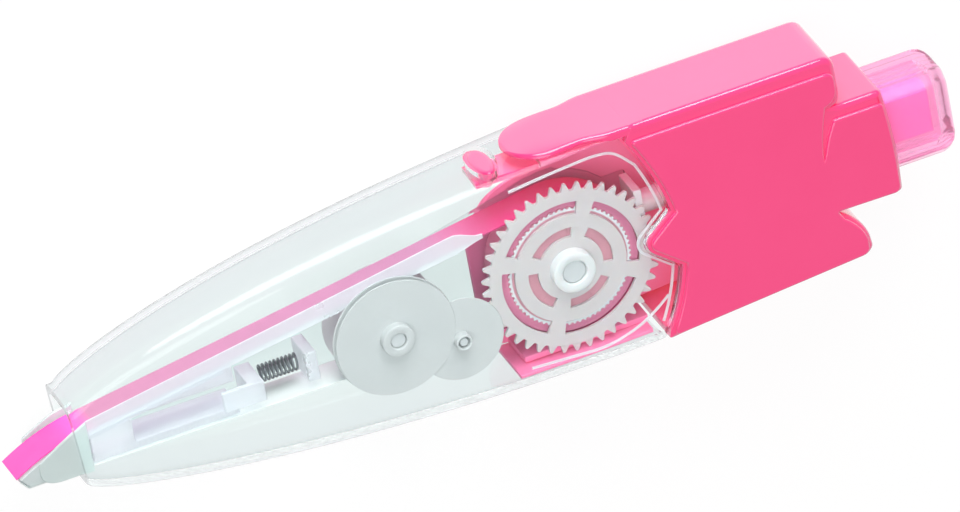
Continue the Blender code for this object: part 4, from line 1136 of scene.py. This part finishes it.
# Ring of slots as cutters: arcs swept by a flat section, one for each gap between spokes
def slotCutter(inner, outer):
    tree = newTree("ring of slots")
    full = 2 * pi / wheels["spokes"]
    half = wheels["spokeWidth"] / (inner + outer)
    path = addNode(tree, "GeometryNodeCurveArc", {
        "Resolution": 40, "Radius": metres((inner + outer) / 2), "Start Angle": half,
        "Sweep Angle": full - 2 * half}, mode="RADIUS")
    section = addNode(tree, "GeometryNodeCurvePrimitiveQuadrilateral", {
        "Width": metres(outer - inner), "Height": metres(wheels["slotDepth"])})
    bar = addNode(tree, "GeometryNodeCurveToMesh", {
        "Curve": path, "Profile Curve": section, "Fill Caps": True})
    spots = addNode(tree, "GeometryNodePoints", {"Count": wheels["spokes"]})
    index = addNode(tree, "GeometryNodeInputIndex")
    angle = addNode(tree, "ShaderNodeMath", {
        0: index, 1: full, 2: wheels["spokeBearing"]}, operation="MULTIPLY_ADD")
    spin = addNode(tree, "ShaderNodeCombineXYZ", {"Z": angle})
    rows = addNode(tree, "GeometryNodeInstanceOnPoints", {
        "Points": spots, "Instance": bar, "Rotation": spin})
    middle = sum(wheels["gear"]) / 2
    return grown("slots", tree, rows, plateAcetal, above(supplyAxis, middle))


# The phase that sets a wheel in mesh with one it faces along a bearing
def meshed(wheel, other, otherPhase):
    ahead = (otherPhase - wheel["bearing"]) % (2 * pi / other["teeth"])
    return wheel["bearing"] + pi - ahead * other["teeth"] / wheel["teeth"] + pi / wheel["teeth"]


def gearPlate(wheel, bore, axis, phase, material):
    pitch = wheels["module"] * wheel["teeth"] / 2
    radii = [pitch + depth for depth in wheel["depth"]]
    return toothedPlate("gearPlate", wheel["teeth"], radii, bore, wheels["gear"], axis, phase, material)


def hubRing(name, bore, radius, low, axis, material):
    top = wheels["hubTop"]
    cut, edge = 0.05, 0.15
    profile = [(bore, low), (radius, low), (radius, top - edge), (radius - cut, top - cut)]
    profile += [(radius - edge, top), (bore + edge, top), (bore + cut, top - cut), (bore, top - edge)]
    return turned(name, profile, axis, material, 96)


# A turned ring with small cut edges at its outer side
def flatRing(name, inner, outer, low, high, edge, axis, material):
    profile = [(inner, low), (outer - edge, low), (outer, low + edge), (outer, high - edge)]
    return turned(name, profile + [(outer - edge, high), (inner, high)], axis, material)


def supplyGear():
    plate = gearPlate(supply, supply["bore"], supplyAxis, supply["phase"], plateAcetal)
    cutters = [slotCutter(inner, outer) for inner, outer in wheels["slots"]]
    return eased(joined("supplyGear", [cut(plate, cutters)], plateAcetal), wheels["edge"])


def smallWheel(name, wheel, phase):
    material = reelPolypropylene
    axis = wheel["axis"]
    inner = (wheel["bore"] + wheel["hub"]) / 2
    plate = eased(gearPlate(wheel, inner, axis, phase, material), wheels["edge"])
    cover = flatRing("flange", inner, *wheel["flange"], 0.05, axis, material)
    hub = hubRing("hub", wheel["bore"], wheel["hub"], wheel["low"], axis, material)
    return joined(name, [plate, cover, hub], material)


settle(supplyGear(), "supply_drive", "white_plastic", "supply_gear")
settle(hubRing("gearHub", *supply["hub"], supplyAxis, whiteAcetal), "supply_drive", "white_plastic")
idlerPhase = meshed(idler, supply, supply["phase"])
settle(smallWheel("idlerGear", idler, idlerPhase), "idler", "frosted_plastic", "idler_gear")
takeUpPhase = meshed(takeUp, idler, idlerPhase)
settle(smallWheel("takeUpGear", takeUp, takeUpPhase), "take_up", "frosted_plastic", "take_up_gear")

# Clutch washer: a thin disc with a serrated rim that slips against the gear, and its raised
# edge, white and finely serrated
washer = {"teeth": 40, "radii": (7.75, 8.0), "bore": 3.1, "z": wheels["disc"], "edge": 0.05}
washerEdge = {"teeth": 72, "radii": (7.72, 7.98), "bore": 7.5, "z": (8.8, 8.83)}


def serrated(name, look, material):
    return toothedPlate(name, look["teeth"], look["radii"], look["bore"], look["z"],
                        supplyAxis, 0.0, material)


# The washer's dusty pink is painted: the roll's light through it and the shade under the gear
disc = eased(serrated("clutchWasher", washer, paintedPinkPolypropylene), washer["edge"])
settle(disc, "supply_reel", "frosted_plastic", "clutch_washer")
settle(serrated("washerRim", washerEdge, whiteAcetal), "supply_reel", "white_plastic")

spool = {
    "bore": 2.3, "drum": 3.1, "radius": 7.82, "flange": 7.2, "under": (0.14, 0.04),
    "fillet": 0.15, "edges": (0.08, 0.1)}


def takeUpSpool():
    low, high = wheels["disc"]
    bottom, floor = (wheels["film"][0] - drop for drop in spool["under"])
    bore, drum, radius, flange = (spool[key] for key in ("bore", "drum", "radius", "flange"))
    profile = [(bore, bottom), (flange, bottom), (flange, floor), (drum, floor)]
    fillet = spool["fillet"]
    under, over = spool["edges"]
    profile += [(drum, low - fillet), (drum + fillet, low), (radius - under, low)]
    profile += [(radius, low + under), (radius, high - over), (radius - over, high), (bore, high)]
    return turned("takeUpSpool", profile, takeUpAxis, reelPolypropylene)


settle(takeUpSpool(), "take_up", "frosted_plastic", "take_up_spool")


rolls = {"tape": (5.2, 9.0), "liner": (3.3, 3.7), "edge": 0.06}
# The roll's rings carry the painted shade
tapeRoll = flatRing("tapeRoll", *rolls["tape"], *wheels["film"], rolls["edge"], supplyAxis, shadedWoundTape)
settle(tapeRoll, "supply_reel", "tape_film", "tape_roll")
linerRoll = flatRing("linerRoll", *rolls["liner"], *wheels["film"], rolls["edge"], takeUpAxis, woundLiner)
settle(linerRoll, "take_up", "liner_paper", "liner_roll")
print("wheels made")


# Tape and liner
film = {
    "thick": 0.15, "tip": (-72.6, -3.1), "shoulder": (-63.0, 0.3), "heelY": -4.7,
    "tapeRadius": 9.275, "linerRadius": 3.975, "linerGap": 0.6, "wrap": radians(270),
    "noseBack": 1.5, "noseDrop": 1.7, "noseRadius": 0.35,
}
tapeStart = touch(supplyAxis, film["tapeRadius"], film["shoulder"], -1)


def headArc(steps):
    shoulder = film["shoulder"]
    tip = film["tip"]
    way = heading(tapeStart, shoulder)
    normal = (-way[1], way[0])
    step = (tip[0] - shoulder[0], tip[1] - shoulder[1])
    across = normal[0] * step[0] + normal[1] * step[1]
    radius = (step[0] ** 2 + step[1] ** 2) / (2 * across)
    centre = shifted(shoulder, normal, radius)
    return arc(centre, radius, bearing(centre, shoulder), bearing(centre, tip), steps)


def noseLine(steps):
    tip = film["tip"]
    radius = film["noseRadius"]
    centre = (tip[0] + film["noseBack"], tip[1] - film["noseDrop"] + radius)
    heel = (film["shoulder"][0], film["heelY"])
    first = bearing(centre, touch(centre, radius, tip, 1))
    last = bearing(centre, touch(centre, radius, heel, -1))
    if last < first:
        last += 2 * pi
    return arc(centre, radius, first, last, steps) + [heel]


def ribbon(name, path, material):
    low, high = wheels["film"]
    half = film["thick"] / 2
    rings = []
    for a, b in zip(beside(path, half), beside(path, -half)):
        rings.append([(*a, low), (*a, high), (*b, high), (*b, low)])
    return loft(name, rings, material)


def tapeRun():
    turn = bearing(supplyAxis, tapeStart)
    wrap = arc(supplyAxis, film["tapeRadius"], turn - film["wrap"], turn, steps=90)
    return ribbon("tape", wrap + between(tapeStart, film["shoulder"], 40) + headArc(steps=24), markerFilm)


def linerRun():
    under = noseLine(steps=8)
    start = shifted(film["tip"], heading(film["tip"], under[0]), film["linerGap"])
    end = touch(takeUpAxis, film["linerRadius"], under[-1], 1)
    turn = bearing(takeUpAxis, end)
    wrap = arc(takeUpAxis, film["linerRadius"], turn, turn + film["wrap"], steps=60)
    return ribbon("liner", [start] + under + between(under[-1], end, steps=24) + wrap, linerFilm)


settle(tapeRun(), "cartridge", "tape_film", "tape")
settle(linerRun(), "cartridge", "liner_paper", "liner")
print("tape and liner made")


# Head: a core under the tape, and two cheeks that keep the tape on it; the near cheek
# rises towards the shell, and a guide wall carries its line on to the reel
head = {
    "skin": 0.275, "core": (3.1, 8.9), "nearCheek": (8.7, 9.1), "farCheek": (2.9, 3.3),
    "front": 2.9, "drop": 0.4, "nearRise": 1.45, "nearPower": 1.3, "farRise": 1.0,
    "farStart": 0.35, "edge": 0.1,
}


def applicatorHead():
    rim = head["edge"]
    over = headArc(steps=24)
    core = beside(over + noseLine(steps=8), head["skin"])
    front = film["tip"][0] + head["front"]
    back = film["shoulder"][0]
    low = film["heelY"] - head["drop"]
    foot = curve((front, film["tip"][1]), (front, low), (front + head["front"], low), steps=10)
    foot.append((back, low))
    near = []
    far = []
    for x, y in over:
        if x > front:
            t = (x - front) / (back - front)
            near.append((x, y + head["nearRise"] * t ** head["nearPower"] - head["skin"] * (1 - t)))
            far.append((x, y + head["farRise"] * min(1.0, head["farStart"] + t)))
    plates = ((core, "core"), (foot + near, "nearCheek"), (foot + far, "farCheek"))
    pieces = [softPlate(outline, *head[key], rim, rim) for outline, key in plates]
    return joined("applicatorHead", pieces, frostedPolypropylene)


settle(applicatorHead(), "cartridge", "frosted_plastic", "applicator_head")

guide = {
    "x": (-62.95, -10.0), "rise": (1.45, 2.1), "drop": 0.6, "z": (8.62, 8.9), "webX": -45.0,
    "webY": -1.2, "webTall": 0.75, "web": (8.2, 8.7), "discRoom": 7.88, "taper": 4.0, "ebb": 0.8,
    "steps": 60, "edge": 0.06,
}


def tapeY(x):
    shoulder = film["shoulder"]
    return mix(tapeStart[1], shoulder[1], (x - tapeStart[0]) / (shoulder[0] - tapeStart[0]))


def guideWall():
    rim = guide["edge"]
    first, last = guide["x"]
    upper = []
    lower = []
    for k in range(guide["steps"] + 1):
        t = k / guide["steps"]
        x = mix(first, last, t)
        y = tapeY(x)
        ebb = 1 - guide["ebb"] * eases(x, last - guide["taper"], last)
        upper.append((x, y + mix(*guide["rise"], t) * ebb))
        side = guide["discRoom"] ** 2 - (x - takeUpAxis[0]) ** 2
        over = takeUpAxis[1] + sqrt(side) if side > 0 else y - guide["drop"]
        lower.append((x, max(y - guide["drop"] * ebb, over)))
    web = [(x, tapeY(x) + guide["webY"]) for x in (first, guide["webX"])]
    web += [(x, y + guide["webTall"]) for x, y in reversed(web)]
    wall = softPlate(lower + upper[::-1], *guide["z"], rim, rim)
    return joined("guideWall", [wall, softPlate(web, *guide["web"], rim, rim)], cloudedStyrene)


settle(guideWall(), "cartridge", "clear_plastic")
print("head and guide wall made")


# Return spring: close coils of wire, wound along X between its seat and its post
spring = {
    "x": (-40.25, -34.85), "y": -1.65, "z": 6.0, "radius": 1.0, "wire": 0.3, "turns": 10.0,
    "stepsPerTurn": 28, "wireSteps": 10,
}


def returnSpring():
    first, last = spring["x"]
    inset = spring["wire"] / 2
    radius = metres(spring["radius"])
    tree = newTree("coil spring")
    coil = addNode(tree, "GeometryNodeCurveSpiral", {
        "Resolution": spring["stepsPerTurn"], "Rotations": spring["turns"], "Start Radius": radius,
        "End Radius": radius, "Height": metres(last - first - 2 * inset)})
    section = addNode(tree, "GeometryNodeCurvePrimitiveCircle", {
        "Resolution": spring["wireSteps"], "Radius": metres(inset)})
    wire = addNode(tree, "GeometryNodeCurveToMesh", {
        "Curve": coil, "Profile Curve": section, "Fill Caps": True})
    start = toPart((first + inset, spring["y"], spring["z"]))
    return grown("returnSpring", tree, wire, wireSteel, start, (0.0, pi / 2, 0.0))


coil = returnSpring()
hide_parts("return_spring")
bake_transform(coil)
print("spring made")


# Floor, light and surroundings

studio = {
    "card": "#F4F4F4", "white": "#FFFFFF", "floor": 3.0, "glow": 1.02, "glowShare": 0.9,
    "fadeTo": 0.45, "horizon": 0.55, "dim": 0.42, "aim": (0.0, 0.0, 0.006)}


# How far a ray sees plain white: straight, mirrored or through clear walls, but not as the
# light that falls on matt surfaces
def plainWhite(tree):
    rays = addNode(tree, "ShaderNodeLightPath").outputs
    first = addNode(tree, "ShaderNodeMath", {0: rays["Diffuse Depth"], 1: 0.5}, operation="LESS_THAN")
    seen = rays["Is Camera Ray"]
    for other in (rays["Is Glossy Ray"], rays["Is Transmission Ray"]):
        seen = addNode(tree, "ShaderNodeMath", {0: seen, 1: other}, operation="MAXIMUM")
    return addNode(tree, "ShaderNodeMath", {0: seen, 1: first}, operation="MULTIPLY")


def addFloor():
    bm = bmesh.new()
    bmesh.ops.create_grid(bm, x_segments=1, y_segments=1, size=studio["floor"])
    material, tree, shader = newMaterial("white card", {
        "Base Color": hexColour(studio["card"]), "Roughness": 0.8})
    share = addNode(tree, "ShaderNodeMath", {
        0: plainWhite(tree), 1: studio["glowShare"]}, operation="MULTIPLY")
    light = addNode(tree, "ShaderNodeEmission", {
        "Color": hexColour(studio["white"]), "Strength": studio["glow"]})
    both = addNode(tree, "ShaderNodeMixShader", {0: share, 1: shader, 2: light})
    tree.links.new(both.outputs["Shader"], tree.nodes["Material Output"].inputs["Surface"])
    pieceOf("floor", bm, material)


def addLamp(name, spot, size, level):
    lamp = bpy.data.lights.new(name, "AREA")
    lamp.shape = "DISK"
    lamp.size = size
    reach = Vector(spot) - Vector(studio["aim"])
    lamp.energy = level * pi ** 2 * reach.length_squared
    turn = reach.to_track_quat("Z", "Y").to_matrix().to_4x4()
    added(name, lamp).matrix_world = Matrix.Translation(spot) @ turn


def addSky():
    world = bpy.data.worlds.new("studio")
    bpy.context.scene.world = world
    world.use_nodes = True
    tree = world.node_tree
    back = tree.nodes["Background"]
    back.inputs["Color"].default_value = hexColour(studio["white"])
    way = addNode(tree, "ShaderNodeTexCoord").outputs["Generated"]
    up = addNode(tree, "ShaderNodeSeparateXYZ", {0: way})
    shown = addNode(tree, "ShaderNodeMapRange", {
        "Value": up.outputs["Z"], "From Max": studio["fadeTo"], "To Min": studio["horizon"]})
    level = addNode(tree, "ShaderNodeMix", {
        "Factor": plainWhite(tree), 2: studio["dim"], 3: shown}, data_type="FLOAT")
    tree.links.new(level.outputs[0], back.inputs["Strength"])


addFloor()
addSky()
addLamp("key", (0.02, 0.66, 0.24), size=0.5, level=1.0)
addLamp("fill", (-0.25, 0.05, 0.72), size=0.6, level=0.36)
bpy.context.scene.view_settings.view_transform = "Standard"
print("floor, light and surroundings set")
